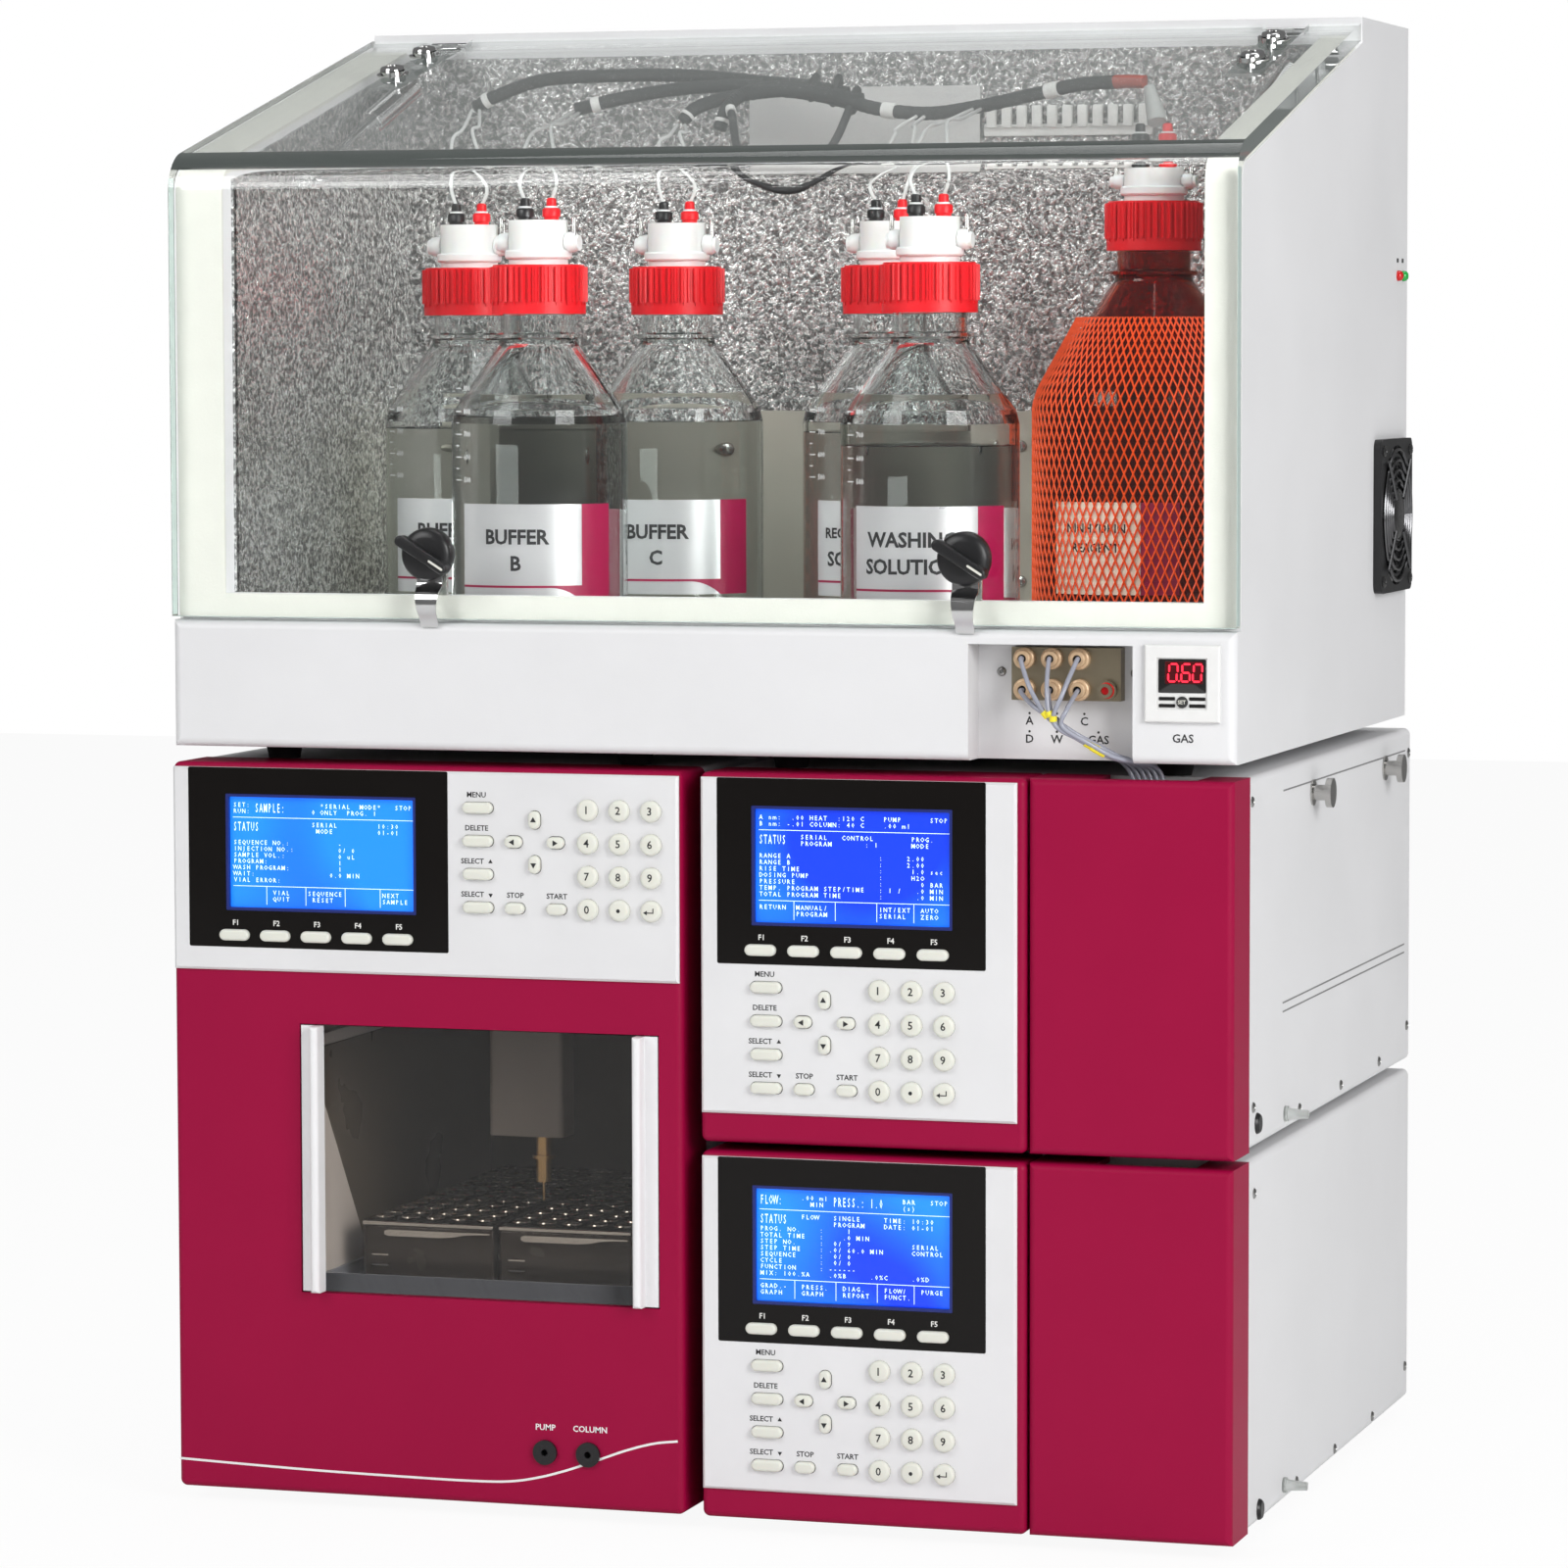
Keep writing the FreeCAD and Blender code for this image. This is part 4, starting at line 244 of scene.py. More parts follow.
def finish(name):
    """A finish of the table, made when it is first asked for: a colour, grain in its bump and
    clouds of roughness."""
    if name in FINISHES:
        return FINISHES[name]
    _, base, rough, metal, more = FINISH_TABLE[name]
    base = getattr(colours(), base) if isinstance(base, str) else base
    more = dict(more)
    grain, mottle, glow, ior = (more.pop(key, None) for key in ("grain", "mottle", "glow", "ior"))
    values = {"Base Color": (*base, 1), "Roughness": rough, "Metallic": metal,
              "Coat Weight": more.pop("coat", 0)}
    if glow:
        values.update({"Emission Strength": glow, "Emission Color": (*base, 1)})
    if ior:
        values.update({"Transmission Weight": 1, "IOR": ior})
    values.update({socket.replace("_", " "): value for socket, value in more.items()})
    material = bpy.data.materials.new(f"{name}_finish")
    FINISHES[name] = material
    material.use_nodes = True
    tree = material.node_tree
    shader = tree.nodes["Principled BSDF"]
    for socket, value in values.items():
        shader.inputs[socket].default_value = value
    place = add(tree, "ShaderNodeTexCoord")
    if mottle:
        cloud = add(tree, "ShaderNodeTexNoise", Scale=mottle[1], Detail=4)
        ramp = add(tree, "ShaderNodeMapRange", To_Min=max(rough - mottle[0], 0.02),
                   To_Max=min(rough + mottle[0], 1.0))
        tint = tree.nodes.new("ShaderNodeMix")
        tint.data_type = "RGBA"
        tint.inputs["A"].default_value = (*[c * 0.95 for c in base], 1)
        tint.inputs["B"].default_value = (*[min(c * 1.04, 1.0) for c in base], 1)
        wire(tree, (place, "Object", cloud, "Vector"), (cloud, "Fac", ramp, "Value"),
             (ramp, "Result", shader, "Roughness"), (cloud, "Fac", tint, "Factor"),
             (tint, "Result", shader, "Base Color"))
    if grain:
        speck = add(tree, "ShaderNodeTexNoise", Scale=grain[1], Detail=2)
        bump = add(tree, "ShaderNodeBump", Strength=grain[0], Distance=GRAIN_DEPTH * MM)
        wire(tree, (place, "Object", speck, "Vector"), (speck, "Fac", bump, "Height"),
             (bump, "Normal", shader, "Normal"))
    if ior:
        let_light_by(tree, base)
    return material


def let_light_by(tree, tint):
    """Lets shadow rays, and rays that have been through the hood and a whole bottle, go straight on."""
    surfaces_before = 7.5
    path, passing = add(tree, "ShaderNodeLightPath"), add(tree, "ShaderNodeBsdfTransparent", Color=(*tint, 1))
    deep, either = reckon(tree, "GREATER_THAN", None, surfaces_before), reckon(tree, "MAXIMUM")
    mix = add(tree, "ShaderNodeMixShader")
    wire(tree, (path, "Transmission Depth", deep, 0), (deep, 0, either, 0),
         (path, "Is Shadow Ray", either, 1),
         (either, 0, mix, 0), (tree.nodes["Principled BSDF"], 0, mix, 1), (passing, 0, mix, 2),
         (mix, 0, tree.nodes["Material Output"], "Surface"))


def two_tone(tree, low, high):
    """A colour ramp between two (place, colour) stops."""
    ramp = tree.nodes.new("ShaderNodeValToRGB")
    for element, (place, tone) in zip(ramp.color_ramp.elements, (low, high)):
        element.position = place
        element.color = (*tone, 1)
    return ramp


def dress(name, *nodes):
    """Gives CAD nodes a finish."""
    for node in nodes:
        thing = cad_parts[node]
        thing.data.materials.clear()
        thing.data.materials.append(finish(name))


# Meshes
def quads_of(rows, columns, wrap=True):
    """Corner numbers of the cells of a grid of points, joined round its columns where it wraps."""
    row = np.arange(rows - 1)[:, None]
    column = np.arange(columns if wrap else columns - 1)[None, :]
    following = (column + 1) % columns
    corners = [row * columns + column, row * columns + following,
               (row + 1) * columns + following, (row + 1) * columns + column]
    return np.stack([c + np.zeros_like(row * column) for c in corners], -1).reshape(-1, 4)


def loft(sections, caps=True):
    """Points and faces of a skin through closed outlines, given as (section, corner, xyz), with a
    fan at each end."""
    sections = np.asarray(sections, float)
    rows, columns = sections.shape[:2]
    points = sections.reshape(-1, 3)
    faces = [quads_of(rows, columns)]
    if caps:
        around = np.arange(columns)
        after = (around + 1) % columns
        first = np.stack([after, around, np.full(columns, len(points))], -1)
        last = np.stack([around, after, np.full(columns, len(points) + 1)], -1)
        faces += [first, last + np.array([1, 1, 0]) * (rows - 1) * columns]
        points = np.vstack([points, sections[[0, -1]].mean(1)])
    return points, faces


def joined(parts):
    """Several point and face sets as one."""
    points, faces, count = [], [], 0
    for some_points, some_faces in parts:
        points.append(some_points)
        faces += [block + count for block in some_faces]
        count += len(some_points)
    return np.vstack(points), faces


def make_mesh(name, points, faces, smooth, outward):
    """A mesh from points in millimetres and blocks of faces, with doubles merged."""
    mesh = bpy.data.meshes.new(name)
    mesh.vertices.add(len(points))
    mesh.vertices.foreach_set("co", (np.asarray(points) * MM).astype(np.float32).ravel())
    corners = np.concatenate([block.ravel() for block in faces]).astype(np.int32)
    counts = np.concatenate([np.full(len(block), block.shape[1]) for block in faces])
    mesh.loops.add(len(corners))
    mesh.loops.foreach_set("vertex_index", corners)
    mesh.polygons.add(len(counts))
    mesh.polygons.foreach_set("loop_start", np.concatenate([[0], np.cumsum(counts)[:-1]]).astype(np.int32))
    mesh.update(calc_edges=True)
    work = bmesh.new()
    work.from_mesh(mesh)
    bmesh.ops.remove_doubles(work, verts=work.verts, dist=1e-6)
    bmesh.ops.dissolve_degenerate(work, edges=work.edges, dist=1e-7)
    if outward:
        bmesh.ops.recalc_face_normals(work, faces=work.faces)
    work.to_mesh(mesh)
    work.free()
    mesh.polygons.foreach_set("use_smooth", np.full(len(mesh.polygons), smooth))
    if smooth:
        mesh.set_sharp_from_angle(angle=math.radians(38))
    return mesh


def piece(name, shape, look, body="stack", replaces=(), smooth=True, outward=True):
    """Puts a shape, or a list of shapes, into the scene as one piece that rides on a body."""
    points, faces = joined(shape) if isinstance(shape, list) else shape
    mesh = make_mesh(name, points, faces, smooth, outward)
    made = bpy.data.objects.new(name, mesh)
    bpy.context.scene.collection.objects.link(made)
    mesh.materials.append(finish(look))
    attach(made, body)
    if replaces:
        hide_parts(*replaces)


# Outlines and solids
AXES = {"x": (1, 2, 0), "y": (0, 2, 1), "z": (0, 1, 2)}


def set_along(flat, depth, axis="y", origin=(0, 0, 0)):
    """Places flat outline points (a, b) at depths along an axis."""
    flat = np.asarray(flat, float)
    placed = np.empty(flat.shape[:-1] + (3,))
    placed[..., AXES[axis]] = np.concatenate(
        [flat, np.broadcast_to(np.asarray(depth, float), flat.shape[:-1])[..., None]], -1)
    return placed + np.asarray(origin, float)


def round_rectangle(width, height, radius, steps=5):
    """Outline of a rectangle with round corners: quarter circles about four corner centres."""
    radius = min(radius, width / 2 - 1e-4, height / 2 - 1e-4)
    turn = np.linspace(0, math.pi / 2, steps)
    corners = []
    for number, (side, up) in enumerate(((1, 1), (-1, 1), (-1, -1), (1, -1))):
        angle = turn + number * math.pi / 2
        corners.append(np.stack([side * (width / 2 - radius) + radius * np.cos(angle),
                                 up * (height / 2 - radius) + radius * np.sin(angle)], -1))
    return np.concatenate(corners)


def circle(radius, count=32):
    turn = np.linspace(0, 2 * math.pi, count, endpoint=False)
    return np.stack([radius * np.cos(turn), radius * np.sin(turn)], -1)


def slab(centre, width, height, near, far, axis="y", radius=2.0, bevel=0.6, steps=3, corner_steps=5):
    """A plate with round corners whose near and far rims are rounded over: outlines shrink along a
    quarter circle."""
    turn = np.linspace(0, math.pi / 2, steps + 1)
    inset = bevel * (1 - np.sin(turn))
    sunk = bevel * (1 - np.cos(turn)) * (1 if far > near else -1)
    levels = [*zip(near + sunk, inset), *zip(far - sunk[::-1], inset[::-1])]
    points, faces = loft([set_along(round_rectangle(width - 2 * i, height - 2 * i, max(radius - i, 0.05),
                                                    corner_steps),
                                    depth, axis) for depth, i in levels])
    points[:, AXES[axis][:2]] += centre
    return points, faces


def turned(profile, origin, axis="z", count=32, caps=False):
    """A shape of revolution from (radius, height) pairs: each pair becomes a circle about the axis."""
    profile = np.asarray(profile, float)
    flat = profile[:, None, :1] * circle(1.0, count)[None]
    return loft(set_along(flat, profile[:, 1:2], axis, origin), caps)


def tube(path, radius, sides=10, caps=True, guide=(0.13, 0.31, 0.94)):
    """A tube round a path: circles square to the path's own direction."""
    path = np.asarray(path, float)
    along = np.gradient(path, axis=0)
    along /= np.linalg.norm(along, axis=1, keepdims=True)
    across = np.cross(along, np.asarray(guide, float))
    across /= np.linalg.norm(across, axis=1, keepdims=True)
    up = np.cross(along, across)
    ring = circle(1.0, sides)
    radius = np.broadcast_to(np.asarray(radius, float), (len(path),))[:, None, None]
    around = across[:, None] * ring[None, :, :1] + up[:, None] * ring[None, :, 1:]
    return loft(path[:, None] + around * radius, caps)


def frame_strip(outer, inner, depth):
    """A flat ring between two outlines with the same number of corners."""
    way = ((outer, 0), (outer, 1), (inner, 1), (inner, 0), (outer, 0))
    return loft([set_along(outline, depth[side]) for outline, side in way], caps=False)


def prism(flat, near, far):
    """A flat outline carried from one depth to another."""
    return loft([set_along(flat, depth) for depth in (near, far)])


def strip_box(low, high):
    """A thin straight strip between two corners, its long edges square."""
    low, high = np.asarray(low, float), np.asarray(high, float)
    middle, half = (low + high) / 2, (high - low) / 2
    long_axis = int(np.argmax(half))
    others = [axis for axis in range(3) if axis != long_axis]
    sections = np.tile(middle, (2, 4, 1))
    sections[..., long_axis] += np.array([[-1], [1]]) * half[long_axis]
    sections[..., others] += np.array([(-1, -1), (1, -1), (1, 1), (-1, 1)]) * half[others]
    return loft(sections)


def screw_head(spot, axis, radius, rise):
    """A low domed screw head with a recess in its middle, turned about an axis."""
    shares = ((0, 0.45), (0.3, 0.45), (0.42, 1), (0.8, 0.8), (1, 0.3), (1, 0))
    return turned([(radius * out, rise * up) for out, up in shares], spot, axis, 18, True)


def curve_through(points, count=60):
    """A smooth path through points: a cubic between each pair, with the slope of its neighbours."""
    points = np.asarray(points, float)
    padded = np.vstack([2 * points[0] - points[1], points, 2 * points[-1] - points[-2]])
    place = np.linspace(0, len(points) - 1, count)
    index = np.minimum(place.astype(int), len(points) - 2)
    t = (place - index)[:, None]
    a, b, c, d = (padded[index + k] for k in range(4))
    return 0.5 * (2 * b + (c - a) * t + (2 * a - 5 * b + 4 * c - d) * t ** 2
                  + (3 * b - a - 3 * c + d) * t ** 3)


def leaned(shape, angle, axes, spot):
    """A shape turned by an angle in the plane of two axes, then moved to a spot."""
    points, faces = shape
    first, second = axes
    moved = points.copy()
    moved[:, first] = points[:, first] * math.cos(angle) - points[:, second] * math.sin(angle)
    moved[:, second] = points[:, first] * math.sin(angle) + points[:, second] * math.cos(angle)
    return moved + spot, faces


GLYPHS = {}


def glyph(text, tall, thick=0.06, weight=0.016, fine=2):
    """Points and triangles of a short text, centred, from the built-in lettering; without
    thickness it is flat."""
    key = (text, tall, thick, weight)
    if key not in GLYPHS:
        words = bpy.data.curves.new("words", "FONT")
        words.body, words.size, words.extrude, words.resolution_u = text, tall, thick, fine
        words.offset = weight * tall
        words.align_x = words.align_y = "CENTER"
        holder = bpy.data.objects.new("words", words)
        bpy.context.scene.collection.objects.link(holder)
        bpy.context.view_layer.update()
        solid = holder.evaluated_get(bpy.context.evaluated_depsgraph_get()).to_mesh()
        solid.calc_loop_triangles()
        points = np.empty(len(solid.vertices) * 3, np.float32)
        solid.vertices.foreach_get("co", points)
        faces = np.empty(len(solid.loop_triangles) * 3, np.int32)
        solid.loop_triangles.foreach_get("vertices", faces)
        GLYPHS[key] = points.reshape(-1, 3).astype(float), faces.reshape(-1, 3)
        bpy.data.objects.remove(holder)
        bpy.data.curves.remove(words)
    return GLYPHS[key]


def lettering(marks, depth):
    """Texts given as (text, across, up, size), laid on the plane at a depth and facing the front."""
    parts = []
    for text, across, up, tall in marks:
        points, faces = glyph(text, tall)
        parts.append((set_along(points[:, :2] + (across, up), depth - points[:, 2]), [faces]))
    return joined(parts)


class AnalyzerStep(bpy.types.Operator):
    """Common form of the steps that build the scene."""

    bl_options = {"REGISTER", "UNDO"}
    bl_idname = "analyzer.step"
    bl_label = "Step"

    def execute(self, context):
        self.build()
        return {"FINISHED"}


# Stage
class Stage(AnalyzerStep):
    """Adds the pale floor, the soft lamps, the pale surroundings and the camera."""

    bl_idname = "analyzer.stage"
    bl_label = "Stage"

    def build(self):
        scene = bpy.context.scene
        scene.view_settings.view_transform = "Standard"
        self.floor(scene)
        self.surroundings(scene)
        self.lamps(scene)
        self.camera(scene)

    def floor(self, scene):
        """A wide sheet of paper that glows for the camera alone, so that it stays white and still
        takes shadows."""
        reach, shown_share = 6.0, 0.93
        ground = bpy.data.meshes.new("floor")
        corners = [(-reach, -reach, 0), (reach, -reach, 0), (reach, reach, 0), (-reach, reach, 0)]
        ground.from_pydata(corners, [], [(0, 1, 2, 3)])
        floor = bpy.data.objects.new("floor", ground)
        scene.collection.objects.link(floor)
        paper = bpy.data.materials.new("paper")
        paper.use_nodes = True
        tree = paper.node_tree
        shader = tree.nodes["Principled BSDF"]
        shader.inputs["Base Color"].default_value = (0.86, 0.86, 0.86, 1)
        shader.inputs["Roughness"].default_value = 0.9
        white, path = add(tree, "ShaderNodeEmission"), add(tree, "ShaderNodeLightPath")
        mix, seen = add(tree, "ShaderNodeMixShader"), reckon(tree, "MULTIPLY", None, shown_share)
        wire(tree, (path, "Is Camera Ray", seen, 0), (seen, 0, mix, 0), (shader, 0, mix, 1),
             (white, 0, mix, 2),
             (mix, 0, tree.nodes["Material Output"], "Surface"))
        ground.materials.append(paper)

    def surroundings(self, scene):
        """White for the camera and for rays that only went through clear sheets, grey for light,
        darker for gloss."""
        light, less_for_gloss = 0.44, -0.28
        scene.world = bpy.data.worlds.new("surroundings")
        scene.world.use_nodes = True
        tree = scene.world.node_tree
        tree.nodes.clear()
        lit = add(tree, "ShaderNodeBackground", Color=(1, 1, 1, 1))
        shown = add(tree, "ShaderNodeBackground", Color=(1, 1, 1, 1), Strength=1.0)
        path, mix = add(tree, "ShaderNodeLightPath"), add(tree, "ShaderNodeMixShader")
        either, turns, first, direct = (reckon(tree, kind)
                                        for kind in ("MAXIMUM", "ADD", "LESS_THAN", "MULTIPLY"))
        dim = reckon(tree, "MULTIPLY_ADD", None, less_for_gloss, light, clamp=True)
        out = add(tree, "ShaderNodeOutputWorld")
        wire(tree, (path, "Glossy Depth", turns, 0), (path, "Diffuse Depth", turns, 1), (turns, 0, first, 0),
             (first, 0, direct, 0), (path, "Is Transmission Ray", direct, 1), (path, "Glossy Depth", dim, 0),
             (dim, 0, lit, "Strength"), (path, "Is Camera Ray", either, 0), (direct, 0, either, 1),
             (either, 0, mix, 0), (lit, 0, mix, 1), (shown, 0, mix, 2), (mix, 0, out, "Surface"))

    def lamps(self, scene):
        middle = Vector((0, 0, 0.42))
        for name, spot, wide, power in (("key_lamp", (-1.6, -2.4, 2.2), 1.4, 34),
                                        ("fill_lamp", (2.4, -1.9, 1.4), 1.4, 62),
                                        ("top_lamp", (0.2, 0.3, 2.9), 1.8, 20)):
            lamp = bpy.data.lights.new(name, "AREA")
            lamp.size = wide
            lamp.energy = power
            holder = bpy.data.objects.new(name, lamp)
            holder.location = spot
            holder.rotation_euler = (middle - Vector(spot)).to_track_quat("-Z", "Y").to_euler()
            scene.collection.objects.link(holder)

    def camera(self, scene):
        """The place and the turn of the photograph's camera."""
        lens = bpy.data.cameras.new("camera")
        lens.sensor_width = 36
        lens.lens = scene.analyzer_sizes.lens
        lens.clip_end = 50
        camera = bpy.data.objects.new("camera", lens)
        camera.location = Vector((1024.25, -3356.29, 661.03)) * MM
        camera.rotation_euler = Euler([math.radians(turn) for turn in (85.79, 0.14, 17.33)], "XYZ")
        scene.collection.objects.link(camera)
        scene.camera = camera


# Covers and fixed metal
COVERS = {
    "red_paint": ("injector_fascia", "reaction_fascia", "pump_fascia", "reaction_door", "pump_door"),
    "grey_sheet": ("injector_case", "reaction_case", "pump_case", "cabinet_housing"),
    "soft_rubber": ("rubber_feet",),
    "bright_steel": ("hanger_posts", "pump_heads", "reaction_column"),
    "milky": ("drain_nozzles",),
    "black_plastic": ("tube_ports",),
}
RIGHT_SCREWS = ((-186.8, 412), (244.8, 410.6), (243.3, 241.8), (159.3, 229), (48.8, 228), (-63.8, 228),
                (-181.8, 243), (-178.8, 195), (243.3, 29), (144.3, 14.7), (36.3, 14.2), (-67.7, 14))
LEFT_SCREWS = ((-150, 410), (60, 410), (230, 410), (-150, 24), (60, 24), (230, 24))
SIDE_PLUGS = ((-171.8, 233), (-163.8, 16))
SEAM_HEIGHTS = (412.5, 293, 288)


class Covers(AnalyzerStep):
    """Paints the sheet covers, the red fronts and the doors, and adds screws, seams and plugs on
    the outer sides."""

    bl_idname = "analyzer.covers"
    bl_label = "Covers"

    def build(self):
        for look, nodes in COVERS.items():
            dress(look, *nodes)
        side = span("reaction_case")[1][0]
        screws = [screw_head((side, y, z), "x", 3.0, 1.2) for y, z in RIGHT_SCREWS]
        screws += [screw_head((LEFT + 0.6, y, z), "x", 3.0, -1.2) for y, z in LEFT_SCREWS]
        piece("cover_screws", screws, "screw_zinc")
        plug = [(0, 2.2), (4.6, 2.2), (5.6, 1.2), (6.0, 0)]
        piece("side_plugs", [turned(plug, (side, y, z), "x", 20, True) for y, z in SIDE_PLUGS],
              "black_plastic")
        piece("side_seams", [strip_box((side, -107.8, z - 0.45), (side + 0.12, 235.3, z + 0.45))
                             for z in SEAM_HEIGHTS], "seam_shade")
        self.back()

    def back(self):
        """Power inlets with their pins, and vent slats, on the backs of the units."""
        inlets, pins, slats = [], [], []
        for node in ("injector_case", "reaction_case", "pump_case"):
            low, high = span(node)
            centre = (low[0] + 41, low[2] + 29.4)
            inlets.append(slab(centre, 27, 19.5, high[1] - 9.5, high[1] - 0.5, "y", 3, 0.8))
            pins += [slab((centre[0] + side, centre[1] + up), 2, 5, high[1] - 1, high[1] + 2, "y", 0.4, 0.3)
                     for side, up in ((-7, -2), (7, -2), (0, 3.5))]
            slats += [slab((low[0] + 154.5, low[2] + 21.4 + 11 * number), 90, 1.0, high[1] - 2.6,
                           high[1] - 0.4,
                           "y", 0.4, 0.2, 2, 3) for number in range(8)]
        piece("power_inlets", inlets, "black_plastic")
        piece("inlet_pins", pins, "bright_steel")
        piece("vent_slats", slats, "seam_shade")


# Control panels
UNITS = {"injector": ((153.02, 61.5), -14.0, (-22.7, -21.0, 134.8, 81.5)),
         "reaction": ((8.5, -34.3), -13.6, (-20.0, -21.6, 134.5, 81.9)),
         "pump": ((8.5, -34.3), -13.6, (-20.0, -21.6, 134.5, 81.9))}
GLASS_LAP = (2, 0, 2)
KEY_STEP = 18.7
MENU_KEYS = (("MENU", 0), ("DELETE", 0), ("SELECT", -2.6), ("SELECT", -2.6))
NUMBERS = ("123", "456", "789", "0  ")
LINES = 18
COLUMNS = 42
# Texts of the displays, each with its row, column and stretch
SCREENS = {
    "injector": (
        ("SET:", (1, 0, 1)), ("*SERIAL  MODE*", (1, 20, 1)), ("STOP", (1, 37, 1)), ("RUN:", (2, 0, 1)),
        ("0 ONLY  PROG. 1", (2, 18, 1)), ("SERIAL", (4, 18, 1)), ("10:30", (4, 33, 1)), ("MODE", (5, 19, 1)),
        ("01-01", (5, 33, 1)), ("SEQUENCE NO.:", (7, 0, 1)), ("-", (7, 24, 1)), ("INJECTION NO.:", (8, 0, 1)),
        ("0/ 0", (8, 24, 1)), ("SAMPLE VOL.:", (9, 0, 1)), ("0 uL", (9, 24, 1)), ("PROGRAM:", (10, 0, 1)),
        ("1", (10, 24, 1)), ("WASH PROGRAM:", (11, 0, 1)), ("1", (11, 24, 1)), ("WAIT:", (12, 0, 1)),
        ("0.0 MIN", (12, 22, 1)), ("VIAL ERROR:", (13, 0, 1)), ("VIAL", (15, 9, 1)),
        ("SEQUENCE", (15, 17, 1)), ("NEXT", (15, 34, 1)), ("QUIT", (16, 9, 1)), ("RESET", (16, 18, 1)),
        ("SAMPLE", (16, 34, 1)), ("SAMPLE:", (1.5, 5, 2)), ("STATUS", (4.5, 0, 2)),
    ),
    "reaction": (
        ("A nm:  .00 HEAT  :120 C", (1, 0, 1)), ("PUMP", (1, 27, 1)), ("STOP", (1, 37, 1)),
        ("B nm: -.01 COLUMN: 40 C", (2, 0, 1)), (".00 ml", (2, 27, 1)), ("SERIAL   CONTROL", (4, 9, 1)),
        ("PROG.", (4, 33, 1)), ("PROGRAM       : 1", (5, 9, 1)), ("MODE", (5, 33, 1)), ("RANGE A", (7, 0, 1)),
        (":", (7, 26, 1)), ("2.00", (7, 32, 1)), ("RANGE B", (8, 0, 1)), (":", (8, 26, 1)),
        ("2.00", (8, 32, 1)), ("RISE TIME", (9, 0, 1)), (":", (9, 26, 1)), ("1.0 sec", (9, 33, 1)),
        ("DOSING PUMP", (10, 0, 1)), (":", (10, 26, 1)), ("H2O", (10, 33, 1)), ("PRESSURE", (11, 0, 1)),
        (":", (11, 26, 1)), ("0 BAR", (11, 35, 1)), ("TEMP. PROGRAM STEP/TIME", (12, 0, 1)),
        (": 1 /", (12, 26, 1)), (".0 MIN", (12, 34, 1)), ("TOTAL PROGRAM TIME", (13, 0, 1)),
        (":", (13, 26, 1)), (".0 MIN", (13, 34, 1)), ("RETURN", (15, 0, 1)), ("MANUAL/", (15, 8, 1)),
        ("INT/EXT", (15, 26, 1)), ("AUTO", (15, 35, 1)), ("PROGRAM", (16, 8, 1)), ("SERIAL", (16, 26, 1)),
        ("ZERO", (16, 35, 1)), ("STATUS", (4.5, 0, 2)),
    ),
    "pump": (
        (".00 ml", (1, 9, 1)), ("BAR", (1, 31, 1)), ("STOP", (1, 37, 1)), ("MIN", (2, 11, 1)),
        ("(s)", (2, 31, 1)), ("FLOW   SINGLE", (4, 9, 1)), ("TIME:", (4, 27, 1)), ("10:30", (4, 33, 1)),
        ("PROGRAM", (5, 16, 1)), ("DATE:", (5, 27, 1)), ("01-01", (5, 33, 1)),
        ("PROG. NO.    :     1", (6, 0, 1)), ("TOTAL TIME   :    .0 MIN", (7, 0, 1)),
        ("STEP NO.     :  0/ 9", (8, 0, 1)), ("SERIAL", (8, 33, 1)),
        ("STEP TIME    : .0/ 60.0 MIN", (9, 0, 1)), ("CONTROL", (9, 33, 1)),
        ("SEQUENCE     :  0/ 0", (10, 0, 1)), ("CYCLE        :  0/ 0", (11, 0, 1)),
        ("FUNCTION     : ------", (12, 0, 1)), ("MIX: 100.%A    .0%B     .0%C     .0%D", (13, 0, 1)),
        ("GRAD.-", (15, 0, 1)), ("PRESS.", (15, 9, 1)), ("DIAG.", (15, 18, 1)), ("FLOW/", (15, 27, 1)),
        ("PURGE", (15, 35, 1)), ("GRAPH", (16, 0, 1)), ("GRAPH", (16, 9, 1)), ("REPORT", (16, 18, 1)),
        ("FUNCT.", (16, 27, 1)), ("FLOW:", (1.5, 0, 2)), ("PRESS.: 1.0", (1.5, 16, 2)),
        ("STATUS", (4.5, 0, 2)),
    ),
}


class Unit:
    """Places of one unit's display and keys, read from its display node."""

    def __init__(self, name):
        menu, function_rise, mask = UNITS[name]
        self.name = name
        low, high = span(f"{name}_lcd")
        self.low, self.high = low + GLASS_LAP, high - GLASS_LAP
        self.face = span(f"{name}_panel")[0][1]
        self.menu = (self.low[0] + menu[0], self.low[2] + menu[1])
        self.function = (self.low[0] + 5.4, self.low[2] + function_rise)
        self.mask = [edge + self.low[axis] for edge, axis in zip(mask, (0, 2, 0, 2))]


def triangle(x, z, reach, turn, depth):
    """A small flat triangle that points up, turned by some quarter turns."""
    angle = np.radians(np.array([90, 210, 330]) + 90 * turn)
    return prism(np.stack([x + reach * np.cos(angle), z + reach * np.sin(angle)], -1), depth, depth - 0.06)


